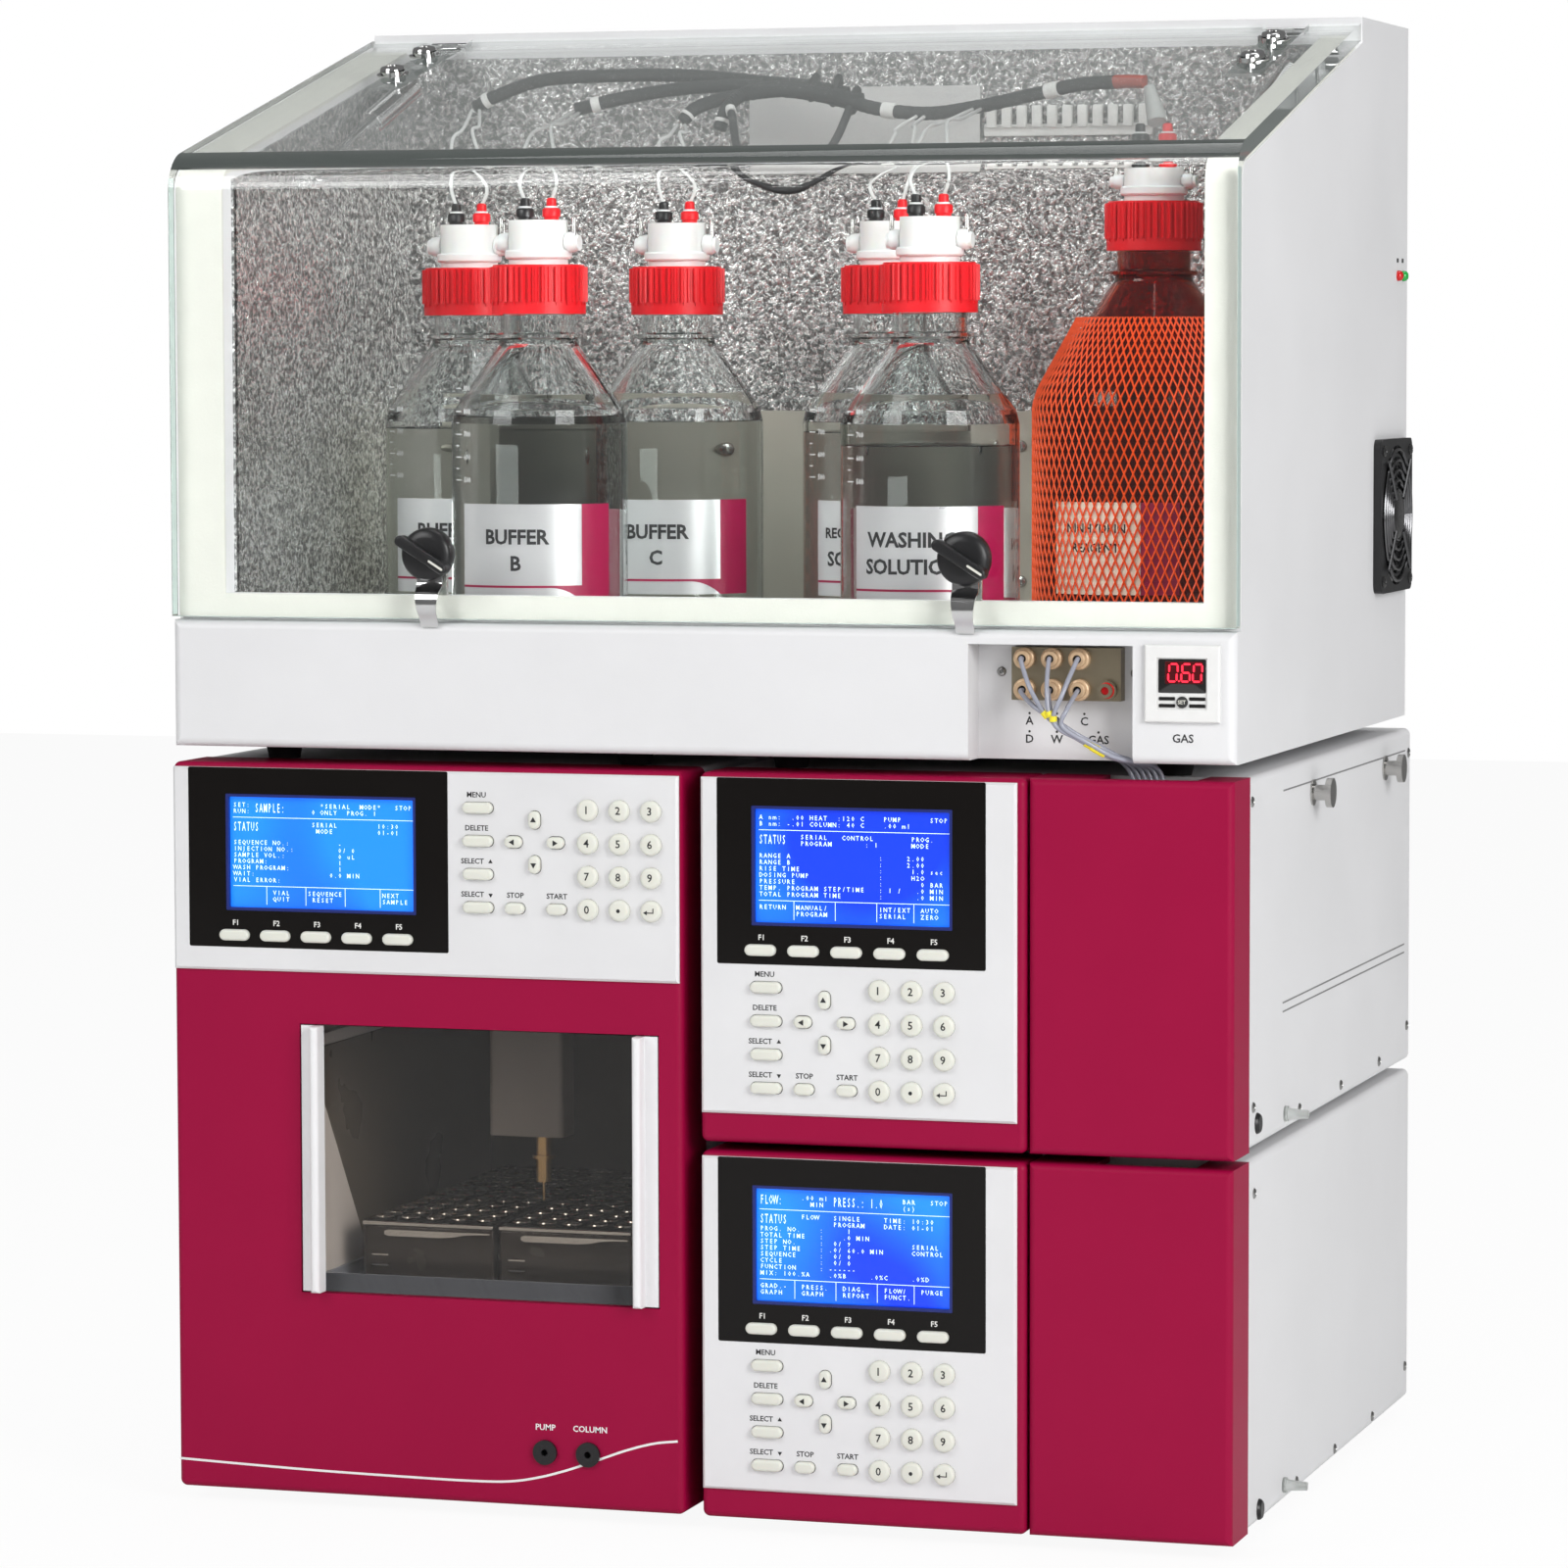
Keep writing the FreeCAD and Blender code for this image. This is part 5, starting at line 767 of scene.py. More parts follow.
class Panels(AnalyzerStep):
    """Dresses the three control panels: plates, black fields, displays with their text, and domed
    keys with print."""

    bl_idname = "analyzer.panels"
    bl_label = "Control panels"

    def build(self):
        dress("silver_panel", *[f"{name}_panel" for name in UNITS])
        self.display_finish()
        dress("display_blue", *[f"{name}_lcd" for name in UNITS])
        for unit in map(Unit, UNITS):
            self.field(unit)
            self.keys(unit)
            self.screen(unit)

    def display_finish(self):
        """Blue in slow clouds between the edge's deep tone and the middle's bright one, glowing in
        the same colour."""
        tree = finish("display_blue").node_tree
        shader = tree.nodes["Principled BSDF"]
        cloud = add(tree, "ShaderNodeTexNoise", Scale=9, Detail=1)
        ramp = two_tone(tree, (0.38, colours().display_deep), (0.62, colours().display_bright))
        wire(tree, (tree.nodes["Texture Coordinate"], "Object", cloud, "Vector"), (cloud, "Fac", ramp, "Fac"),
             (ramp, "Color", shader, "Base Color"), (ramp, "Color", shader, "Emission Color"))
        shader.inputs["Emission Strength"].default_value = 0.75

    def field(self, unit):
        """The black printed field round a display, as a flat ring from its outer to its inner outline."""
        left, low, right, high = unit.mask
        wide, tall = unit.high[0] - unit.low[0], unit.high[2] - unit.low[2]
        reveal = 3.4
        window = ((unit.low[0] + unit.high[0]) / 2, (unit.low[2] + unit.high[2]) / 2)
        outer = round_rectangle(right - left, high - low, 1.0, 4) + ((left + right) / 2, (low + high) / 2)
        inner = round_rectangle(wide, tall, 0.6, 4) + window
        edge = round_rectangle(wide - reveal, tall - reveal, 0.6, 4) + window
        piece(f"{unit.name}_black_field", frame_strip(outer, inner, (unit.face + 0.1, unit.face - 0.12)),
              "black_field", smooth=False)
        piece(f"{unit.name}_display_edge", frame_strip(inner, edge, (unit.low[1] - 0.05, unit.face + 0.05)),
              "display_rim", smooth=False)

    def keys(self, unit):
        """Domed keys over a soft mat: outlines that shrink towards the top along a quarter circle."""
        near, far, top = unit.face - size("key_rise"), unit.face + 1.5, unit.face - 0.02
        menu_x, menu_z = unit.menu
        pill = dict(near=near, far=far, radius=3.2, bevel=1.5, steps=4, corner_steps=6)
        caps, dark, light, marks, digits = [], [], [], [], []
        for number in range(5):
            x, z = unit.function[0] + 24.8 * number, unit.function[1]
            caps.append(slab((x, z), 18, 6.4, **pill))
            light.append((f"F{number + 1}", x + 0.5, z + 6.9, 4.3))
        for number, (word, shift) in enumerate(MENU_KEYS):
            z = menu_z - KEY_STEP * number
            caps.append(slab((menu_x, z), 18, 6.4, **pill))
            dark.append((word, menu_x - 1 + shift, z + 7.2, 4.2))
            if shift:
                marks.append(triangle(menu_x + 7.2, z + 7.1, 1.5, 0 if number == 2 else 2, top))
        for offset, word in ((21.9, "STOP"), (46.6, "START")):
            caps.append(slab((menu_x + offset, menu_z - 56.1), 11.6, 6.4, **pill))
            dark.append((word, menu_x + offset, menu_z - 48.9, 4.2))
        for turn, (side, up) in enumerate(((0, 1), (-1, 0), (0, -1), (1, 0))):
            spot = (menu_x + 33.8 + 12.5 * side, menu_z - KEY_STEP + 12.5 * up)
            wide, tall = (6.6, 10.2) if up else (10.2, 6.6)
            caps.append(slab(spot, wide, tall, **pill))
            marks.append(triangle(*spot, 2.0, turn, near + 0.02))
        for line, row in enumerate(NUMBERS):
            for column, digit in enumerate(row):
                spot = (menu_x + 65.3 + 18.6 * column, menu_z - 18.6 * line)
                caps.append(slab(spot, 12.2, 12.2, near - 0.3, far, "y", 6.1, 1.9, 4, 7))
                if digit != " ":
                    digits.append((digit, *spot, 6.2))
        dot = (menu_x + 65.3 + 18.6, menu_z - 55.8)
        marks.append(turned([(0, -0.06), (1.1, -0.06), (1.1, 0)], (dot[0], near - 0.28, dot[1]), "y", 12,
                            True))
        hook = (dot[0] + 18.6, dot[1])
        for low, high in (((-2.2, -0.9), (2.2, -0.3)), ((1.6, -0.3), (2.2, 2.0))):
            marks.append(strip_box((hook[0] + low[0], near - 0.36, hook[1] + low[1]),
                                   (hook[0] + high[0], near - 0.27, hook[1] + high[1])))
        marks.append(triangle(hook[0] - 2.4, hook[1] - 0.6, 1.5, 1, near - 0.28))
        piece(f"{unit.name}_keys", caps, "key_face", replaces=(f"{unit.name}_keypad",))
        low, high = span(f"{unit.name}_keypad")
        mat = slab(((low[0] + high[0]) / 2, (low[2] + high[2]) / 2), high[0] - low[0] - 8,
                   high[2] - low[2] - 4,
                   high[1] - 1.9, high[1] - 0.1, "y", 1, 0.2, 1, 2)
        piece(f"{unit.name}_key_mat", mat, "key_mat")
        piece(f"{unit.name}_key_print", [lettering(dark, top), lettering(digits, near - 0.27), *marks],
              "dark_print", smooth=False)
        piece(f"{unit.name}_function_print", lettering(light, unit.face - 0.14), "pale_print", smooth=False)

    def screen(self, unit):
        """Pale letters of the display, each in its own cell of a grid of lines and columns, and
        the box lines."""
        front = unit.low[1] - 0.04
        left, top = unit.low[0] + 3.4, unit.high[2] - 1.2
        wide, tall = (unit.high[0] - left - 0.6) / COLUMNS, (unit.high[2] - unit.low[2] - 2.4) / LINES
        parts = []
        for text, (row, column, stretch) in SCREENS[unit.name]:
            for number, letter in enumerate(text):
                if letter != " ":
                    points, faces = glyph(letter, tall * 1.02, 0, 0.006, 1)
                    spot = (left + (column + number + 0.5) * wide, top - (row + 0.5) * tall)
                    parts.append((set_along(points[:, :2] * (0.86, stretch) + spot, front), [faces]))
        for row in (3.5, 14.5):
            z = top - row * tall
            parts.append(strip_box((left, front - 0.03, z), (unit.high[0] - 0.8, front, z + 0.3)))
        for column in (8, 17, 26, 34):
            x = left + (column - 0.4) * wide
            parts.append(strip_box((x, front - 0.03, top - 17.4 * tall), (x + 0.3, front, top - 14.5 * tall)))
        piece(f"{unit.name}_display_text", parts, "display_text", smooth=False, outward=False)


# Injector front and sample drawer
WHITE_LINE = ((-315.8, 24.2), (-280, 23.0), (-230, 21.6), (-180, 20.9), (-140, 20.7), (-115, 21.6),
              (-97, 24.8),
              (-80, 29.8), (-62, 36.4), (-44, 43.2), (-28, 47.8), (-14, 49.8))
VIAL_ROWS = 12
VIAL_COLUMNS = 5


def ribbon(path, width, depth):
    """A flat band of even width along a path of (x, z) points on a plane, its edges square to the path."""
    along = np.gradient(path, axis=0)
    along /= np.linalg.norm(along, axis=1, keepdims=True)
    side = np.stack([-along[:, 1], along[:, 0]], -1) * width / 2
    around = ((-1, 0), (1, 0), (1, 1), (-1, 1))
    return loft(np.stack([np.insert(path + sign * side, 1, depth[end], axis=1) for sign, end in around], 1))


def repeated(profile, spots, top):
    """The same turned form at many spots, all made in one array."""
    points, faces = turned(profile, (0, 0, top), "z", 14)
    moved = points[None] + np.insert(spots, 2, 0, axis=1)[:, None]
    step = np.arange(len(spots))[:, None, None] * len(points)
    return moved.reshape(-1, 3), [(block[None] + step).reshape(-1, block.shape[1]) for block in faces]


class Drawer(AnalyzerStep):
    """Adds the white line and port print, and dresses the sample drawer, its racks of vials and
    the needle."""

    bl_idname = "analyzer.drawer"
    bl_label = "Injector front and drawer"

    def build(self):
        line = ribbon(curve_through(WHITE_LINE, 90), 1.3, (FRONT + 0.02, FRONT - 0.12))
        piece("injector_white_line", line, "white_print", smooth=False)
        words = lettering([("PUMP", -92.6, 53.6, 4.8), ("COLUMN", -65.9, 53.6, 4.8)], FRONT - 0.02)
        piece("port_print", words, "white_print", smooth=False)
        dress("folded_white", "drawer_side_left", "drawer_side_right")
        dress("tray_paint", "drawer_tray")
        dress("pane_smoke", "drawer_pane")
        dress("satin_grey", "needle_carriage", "needle_beam")
        dress("needle_brass", "sample_needle")
        self.chamber()
        for side in ("left", "right"):
            self.rack(side)

    def chamber(self):
        """Sheets in front of the chamber's walls and roof: the back and the roof in painted shade, much darker
        than the brown of the sides.
        """
        low, high = span("drawer_pane")
        x0, x1 = low[0] - 16.6, high[0] + 16.6
        thin = (1, 0.3, 1, 2)
        middle, wide = (x0 + x1) / 2, x1 - x0 - 1
        piece("chamber_back", [slab((middle, 214), wide, 186, 94.6, 96.0, "y", *thin),
                               slab((middle, -48), wide, 284, 306.4, 307.6, "z", *thin)], "chamber_dark")
        piece("chamber_sides",
              [slab((-48, 190), 284, 139, x, x + 1.0, "x", *thin) for x in (x0 + 0.3, x1 - 1.3)],
              "chamber_brown")

    def rack(self, side):
        """A block with a smoky lid, bright trim, and a rim and a dome for each vial."""
        node = f"vial_rack_{side}"
        low, high = span(node)
        top = high[2] - 2.5
        centre, (wide, deep, _) = (low[:2] + high[:2]) / 2, high - low
        body = "sample_drawer"
        piece(f"rack_{side}", slab(centre, wide, deep, low[2] + 1, top - 3, "z", 2, 1.0), "rack_dark", body,
              (node,))
        piece(f"rack_{side}_lid", slab(centre, wide, deep, top - 3, top, "z", 2, 0.8), "rack_smoke", body)
        x = low[0] + wide / 2 + (np.arange(VIAL_COLUMNS) - (VIAL_COLUMNS - 1) / 2) * 15.385
        y = low[1] + deep / 2 + (np.arange(VIAL_ROWS) - (VIAL_ROWS - 1) / 2) * 19
        spots = np.stack(np.meshgrid(x, y), -1).reshape(-1, 2)
        rims = repeated([(5.3, 0.0), (5.6, 0.6), (5.3, 1.2), (4.7, 1.0), (4.6, 0.2)], spots, top)
        domes = repeated([(4.7, 0.5), (4.3, 1.6), (3.2, 2.3), (1.6, 2.5), (0.0, 2.5)], spots, top)
        bars = [slab((centre[0], top - 1.6), wide - 0.6, 2.2, low[1] - 0.9, low[1] + 0.4, "y", 0.8, 0.3,
                     1, 3),
                slab((centre[0], low[2] + 3), wide - 0.6, 1.0, low[1] - 0.6, low[1] + 0.3, "y", 0.5, 0.2,
                     1, 3)]
        bars += [strip_box((low[0] + 6, low[1] - 0.5, low[2] + up),
                           (low[0] + 16, low[1] + 0.2, low[2] + up + 0.8))
                 for up in (10, 16)]
        tongue = [(-24, -5), (-26, -6), (-26, -7.6), (-24, -8.6), (8, -8.6), (16, -7.9), (22, -6.6),
                  (30, -6.0),
                  (38, -5.8), (38, -5)]
        bars.append(prism(np.array(tongue) + (centre[0], top), low[1] - 1.3, low[1] + 0.2))
        piece(f"rack_{side}_trim", [rims, *bars], "rim_bright", body)
        piece(f"rack_{side}_vials", domes, "vial_cap", body)


# Reagent cabinet
CABINET_LOOKS = {
    "foil": ("cabinet_lining",),
    "plate_steel": ("cold_plate",),
    "chromed": ("hinge_arms", "hinge_brackets", "spring_rods", "spring_sleeves"),
    "hood_clear": ("hood",),
    "seal_foam": ("hood_seal",),
    "black_plastic": ("fan_guard", "fan_rotor"),
}
HINGE_LEAN = math.atan2(80, 312)
SPRING_RUN, SPRING_RISE = 166.0, 57.0
LATCH_TURN = math.radians(-32)
FOIL_CELL = 1.6


def stucco(shape, pitch, seed):
    """Heights of an embossed foil: random grains blurred to one size of bump, then folded so that
    ridges stay sharp."""
    noise = np.random.default_rng(seed).normal(size=shape)
    up, across = np.meshgrid(np.fft.fftfreq(shape[0], FOIL_CELL), np.fft.rfftfreq(shape[1], FOIL_CELL),
                             indexing="ij")
    band = np.exp(-((np.hypot(across, up) * pitch - 1.0) / 0.42) ** 2)
    field = np.fft.irfft2(np.fft.rfft2(noise) * band, s=shape)
    field /= field.std()
    return np.tanh(field * 0.8) * 0.5 + 0.5


def halves(node):
    """Boxes of the left and the right half of a node that has one solid on each side."""
    low, high = span(node)
    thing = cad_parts[node]
    points = np.empty(len(thing.data.vertices) * 3, np.float32)
    thing.data.vertices.foreach_get("co", points)
    points = points.reshape(-1, 3) / MM
    left = points[:, 0] < (low[0] + high[0]) / 2
    return [(part.min(0), part.max(0)) for part in (points[left], points[~left])]


class Cabinet(AnalyzerStep):
    """Adds the embossed foil, the cold plate's bolts, the hood's frame, hinges, springs, latches,
    fan and lamps."""

    bl_idname = "analyzer.cabinet"
    bl_label = "Reagent cabinet"

    def build(self):
        self.foil_finish()
        self.hood_finish()
        for look, nodes in CABINET_LOOKS.items():
            dress(look, *nodes)
        self.lining()
        self.bolts()
        self.hood()
        self.springs()
        self.latches()
        self.fan()
        self.lamps()

    def foil_finish(self):
        """Crumpled foil with painted light: one noise drives its bump and also darkens and lightens its grains,
        a painted shade and highlight on the emboss.
        """
        tree = finish("foil").node_tree
        shader = tree.nodes["Principled BSDF"]
        # painted shade and highlight: the foil colour at 0.34 and 1.25 of itself, following the noise that also
        # makes the bump
        dark, light = ([min(c * share, 1.0) for c in colours().foil] for share in (0.34, 1.25))
        grains = add(tree, "ShaderNodeTexNoise", Scale=360, Detail=2, Distortion=0.6)
        ramp = two_tone(tree, (0.38, dark), (0.64, light))
        bump = add(tree, "ShaderNodeBump", Strength=1.0, Distance=1.6 * MM)
        wire(tree, (tree.nodes["Texture Coordinate"], "Object", grains, "Vector"),
             (grains, "Fac", ramp, "Fac"),
             (grains, "Fac", bump, "Height"), (ramp, "Color", shader, "Base Color"),
             (bump, "Normal", shader, "Normal"))

    def hood_finish(self):
        """Clear sheet with a painted glow: a pale green emission where it is seen along its length, standing in
        for light carried in the sheet.
        """
        tree = finish("hood_clear").node_tree
        shader = tree.nodes["Principled BSDF"]
        slant = add(tree, "ShaderNodeLayerWeight", Blend=0.5)
        past, share = reckon(tree, "SUBTRACT", None, 0.35, clamp=True), reckon(tree, "MULTIPLY", None, 0.15)
        # painted glow: emission that rises as the sheet is seen edge-on
        shader.inputs["Emission Color"].default_value = (0.78, 0.88, 0.84, 1)
        wire(tree, (slant, "Facing", past, 0), (past, 0, share, 0), (share, 0, shader, "Emission Strength"))

    def lining(self):
        """Embossed sheets before the back and side walls: a grid whose depth is the stucco height
        at each point."""
        rise, pitch = size("emboss_height"), size("emboss_pitch")
        x0, x1 = LINING_LOW[0] + 1.8, LINING_HIGH[0] - 1.8
        back, z0 = LINING_HIGH[1] - 1.9, FLOOR_Z + 0.3
        x = np.arange(x0, x1 + FOIL_CELL, FOIL_CELL)
        top = slope_z(back) - 6
        z = np.linspace(z0, top, int((top - z0) / FOIL_CELL))
        h = stucco((len(z), len(x)), pitch, 3) * rise
        grid = np.stack([np.broadcast_to(x, h.shape), back - h, np.broadcast_to(z[:, None], h.shape)], -1)
        piece("foil_back", (grid.reshape(-1, 3), [quads_of(*h.shape, wrap=False)]), "foil", outward=False)
        y = np.arange(LINING_LOW[1] + 2, back, FOIL_CELL)
        share = np.linspace(0, 1, 150)[:, None]
        for name, wall, sign, seed in (("foil_left", x0, 1, 5), ("foil_right", x1, -1, 8)):
            h = stucco((len(share), len(y)), pitch, seed) * rise
            height = z0 + share * (slope_z(y[None]) - 8 - z0)
            grid = np.stack([wall + sign * h, np.broadcast_to(y, h.shape), height], -1)
            faces = quads_of(*h.shape, wrap=False)
            piece(name, (grid.reshape(-1, 3), [faces if sign < 0 else faces[:, ::-1]]), "foil", outward=False)

    def bolts(self):
        """Bolts of the cold plate, and the rail and the plate that hold the hoses at the cabinet's back."""
        plate = span("cold_plate")[0][1]
        piece("plate_bolts", [screw_head((x, plate, z), "y", 3.6, -2.0) for x in (-250, -120, 0, 101.9, 250)
                              for z in (520.8, 601.6)], "bright_steel")
        teeth = [slab((84.5 + 9.3 * number, 791), 5.6, 13, 70.5, 75.0, "y", 1.0, 0.5, 2, 3)
                 for number in range(11)]
        piece("tube_rail", [slab((131, 783), 103, 7, 73.5, 75.5, "y", 1, 0.4, 1, 3), *teeth], "rail_white")
        piece("back_plate", slab((5, 792), 144, 36, 73.2, 74.6, "y", 2, 0.4, 1, 4), "plate_white")

    def hood(self):
        """Pale strips on the clear sheet's cut edges, a painted highlight for the light seen in them, and domed
        hinge screws square to its slope.
        """
        low, high = span("hood")
        slant_share = 1.032
        washer = turned([(9.5, 0), (9.5, 0.7), (9.0, 1.0), (0, 1.0)], (0, 0, 0), "z", 28, True)
        dome = turned([(7.4, 0.9), (7.4, 3.4), (6.6, 4.6), (4.6, 5.2), (2.6, 5.3), (2.4, 4.0), (0, 4.0)],
                      (0, 0, 0), "z", 28, True)
        caps = []
        for arm_low, arm_high in halves("hinge_arms"):
            for y in (-11.75, 42.25):
                spot = ((arm_low[0] + arm_high[0]) / 2, y, slope_z(y) + HOOD_THICK * slant_share)
                caps += [leaned(shape, HINGE_LEAN, (1, 2), spot) for shape in (washer, dome)]
        piece("hinge_screw_caps", caps, "chromed", "hood")
        # pale strips along the sheet's side and lower edges: painted highlight
        near, far = FRONT + 1.2, FRONT + 8.8
        strips = [strip_box((x, near, low[2] + 1), (x + 0.3, far, BASE_Z + EDGE_RISE - 1))
                  for x in (low[0] - 0.15, high[0] - 0.15)]
        strips.append(strip_box((low[0] + 1, near, low[2] - 0.15), (high[0] - 1, far, low[2] + 0.15)))
        piece("hood_cut_edges", strips, "cut_edge", "hood", smooth=False)

    def springs(self):
        """A wire wound round each sleeve: a helix about the line between the spring's pins."""
        start = (FRONT + 128, BASE_Z + 326)
        length, windings, coil = math.hypot(SPRING_RUN, SPRING_RISE), 21, 6.6
        ahead = np.array([0, SPRING_RUN / length, SPRING_RISE / length])
        up = np.array([0, -SPRING_RISE / length, SPRING_RUN / length])
        turn = np.linspace(0, 2 * math.pi * windings, windings * 16)
        coils = []
        for low, high in halves("spring_sleeves"):
            way = length - 91 + turn / turn[-1] * 74
            pin = np.array([(low[0] + high[0]) / 2, *start])
            path = pin + way[:, None] * ahead + coil * np.sin(turn)[:, None] * up
            path[:, 0] += coil * np.cos(turn)
            coils.append(tube(path, 1.05, 6))
        piece("spring_coils", coils, "chromed", "spring_sleeves")

    def latches(self):
        """A winged grip with a pale pointer on each latch, and a bent chrome keeper behind it."""
        bent = curve_through([(-0.35, 12), (-0.35, -12), (-1.4, -18), (-5.2, -22), (-6.6, -27), (-5.6, -32),
                              (-2.0, -37), (-0.4, -41)], 40)
        half = 7.5 - 2.2 * np.clip((np.linspace(0, 1, 40) - 0.3) * 2, 0, 1)
        keepers = []
        for name in ("latch_left", "latch_right"):
            low, high = span(name)
            x, z, front = (low[0] + high[0]) / 2, BASE_Z + 110.6, low[1]
            profile = [(0, 7.4), (9, 7.4), (13, 8.2), (14.6, 10), (15.0, 14), (15.0, 16.0), (13, 16.1)]
            grip = [slab((0, 0), 35, 6.4, front - 0.4, front + 9, "y", 3.1, 1.6, 4, 7),
                    turned([(radius, front + way) for radius, way in profile], (0, 0, 0), "y", 40)]
            pointer = slab((11, 0), 10, 1.3, front - 0.55, front - 0.2, "y", 0.6, 0.1, 1, 3)
            for label, shape, look, hidden in (("grip", joined(grip), "black_plastic", (name,)),
                                               ("pointer", pointer, "key_face", ())):
                piece(f"{name}_{label}", leaned(shape, LATCH_TURN, (0, 2), (x, 0, z)), look, name, hidden)
            piece(f"{name}_cam", [slab((x, z - 15), 12, 42, FRONT + 12, FRONT + 14.5, "y", 3, 0.5),
                                  turned([(4, FRONT - 1), (4, FRONT + 14)], (x, 0, z), "y", 24, True)],
                  "bright_steel", name)
            edges = [np.stack([x + side * half, FRONT + bent[:, 0], z + bent[:, 1]], -1) for side in (-1, 1)]
            thick = (0, -0.9, 0)
            keepers.append(loft(np.stack([*edges, edges[1] + thick, edges[0] + thick], 1)))
        piece("latch_keepers", keepers, "chromed", "hood")

    def fan(self):
        """Rings and spokes of the fan's guard, and its hub plate with corner screws."""
        low, high = span("fan_guard")
        face, y, z = high[0], (low[1] + high[1]) / 2, (low[2] + high[2]) / 2
        guide = (1, 0.01, 0.02)
        turn = np.linspace(0, 2 * math.pi, 65)
        wires = []
        for radius in (15, 21, 27, 33, 39.5):
            ring = np.stack([np.full(65, face + 0.6), y + radius * np.cos(turn), z + radius * np.sin(turn)], -1)
            wires.append(tube(ring, 1.1, 8, False, guide))
        for quarter in range(4):
            angle = math.pi / 4 + quarter * math.pi / 2
            reach = np.linspace(14, 46, 6)[:, None]
            path = np.array([face + 1.6, y, z]) + reach * np.array([0, math.cos(angle), math.sin(angle)])
            wires.append(tube(path, 1.2, 8, guide=guide))
        piece("fan_wires", wires, "wire_dark")
        hub = turned([(0, 2.6), (9, 2.6), (13, 1.9), (15, 0.4), (15, -0.5)], (face, y, z), "x", 36)
        corners = [screw_head((face, y + a, z + b), "x", 3.4, 1.6) for a in (-39, 39) for b in (-39, 39)]
        piece("fan_hub_plate", [hub, *corners], "hub_black")

    def lamps(self):
        """Two domed lenses, red and green, with dark marks over them."""
        low, high = span("status_lamps")
        z, places = (low[2] + high[2]) / 2, (low[1] + 3, high[1] - 3)
        dome = [(3.2, 0), (3.2, 1.2), (2.9, 2.4), (1.8, 3.4), (0, 3.8)]
        for name, y, hidden in zip(("lamp_red", "lamp_green"), places, (("status_lamps",), ())):
            piece(name, turned(dome, (low[0], y, z), "x", 20), name, replaces=hidden)
        piece("lamp_marks",
              [strip_box((low[0], y - 2.6, z + 8), (low[0] + 0.1, y + 2.6, z + 10.5)) for y in places],
              "dark_print", smooth=False)


# Gas manifold and pressure meter
SEGMENTS = {"0": "abcdef", "6": "acdefg"}
SEGMENT_PLACES = {"a": (0, 2), "g": (0, 0), "d": (0, -2), "f": (-1, 1), "b": (1, 1), "e": (-1, -1),
                  "c": (1, -1)}


def seven_segments(digit, x, z, tall, depth):
    """A digit of a display: pointed bars on the sides of two squares."""
    half, thin = tall / 4, tall * 0.055
    tip = half * 0.86
    outline = np.array([(-tip, 0), (thin - tip, thin), (tip - thin, thin), (tip, 0), (tip - thin, -thin),
                        (thin - tip, -thin)])
    bars = []
    for across, up in (SEGMENT_PLACES[name] for name in SEGMENTS[digit]):
        flat = outline[:, ::-1] if across else outline
        bars.append(prism(flat + (x + across * half + 0.12 * up * half, z + up * half), depth, depth - 0.15))
    return bars


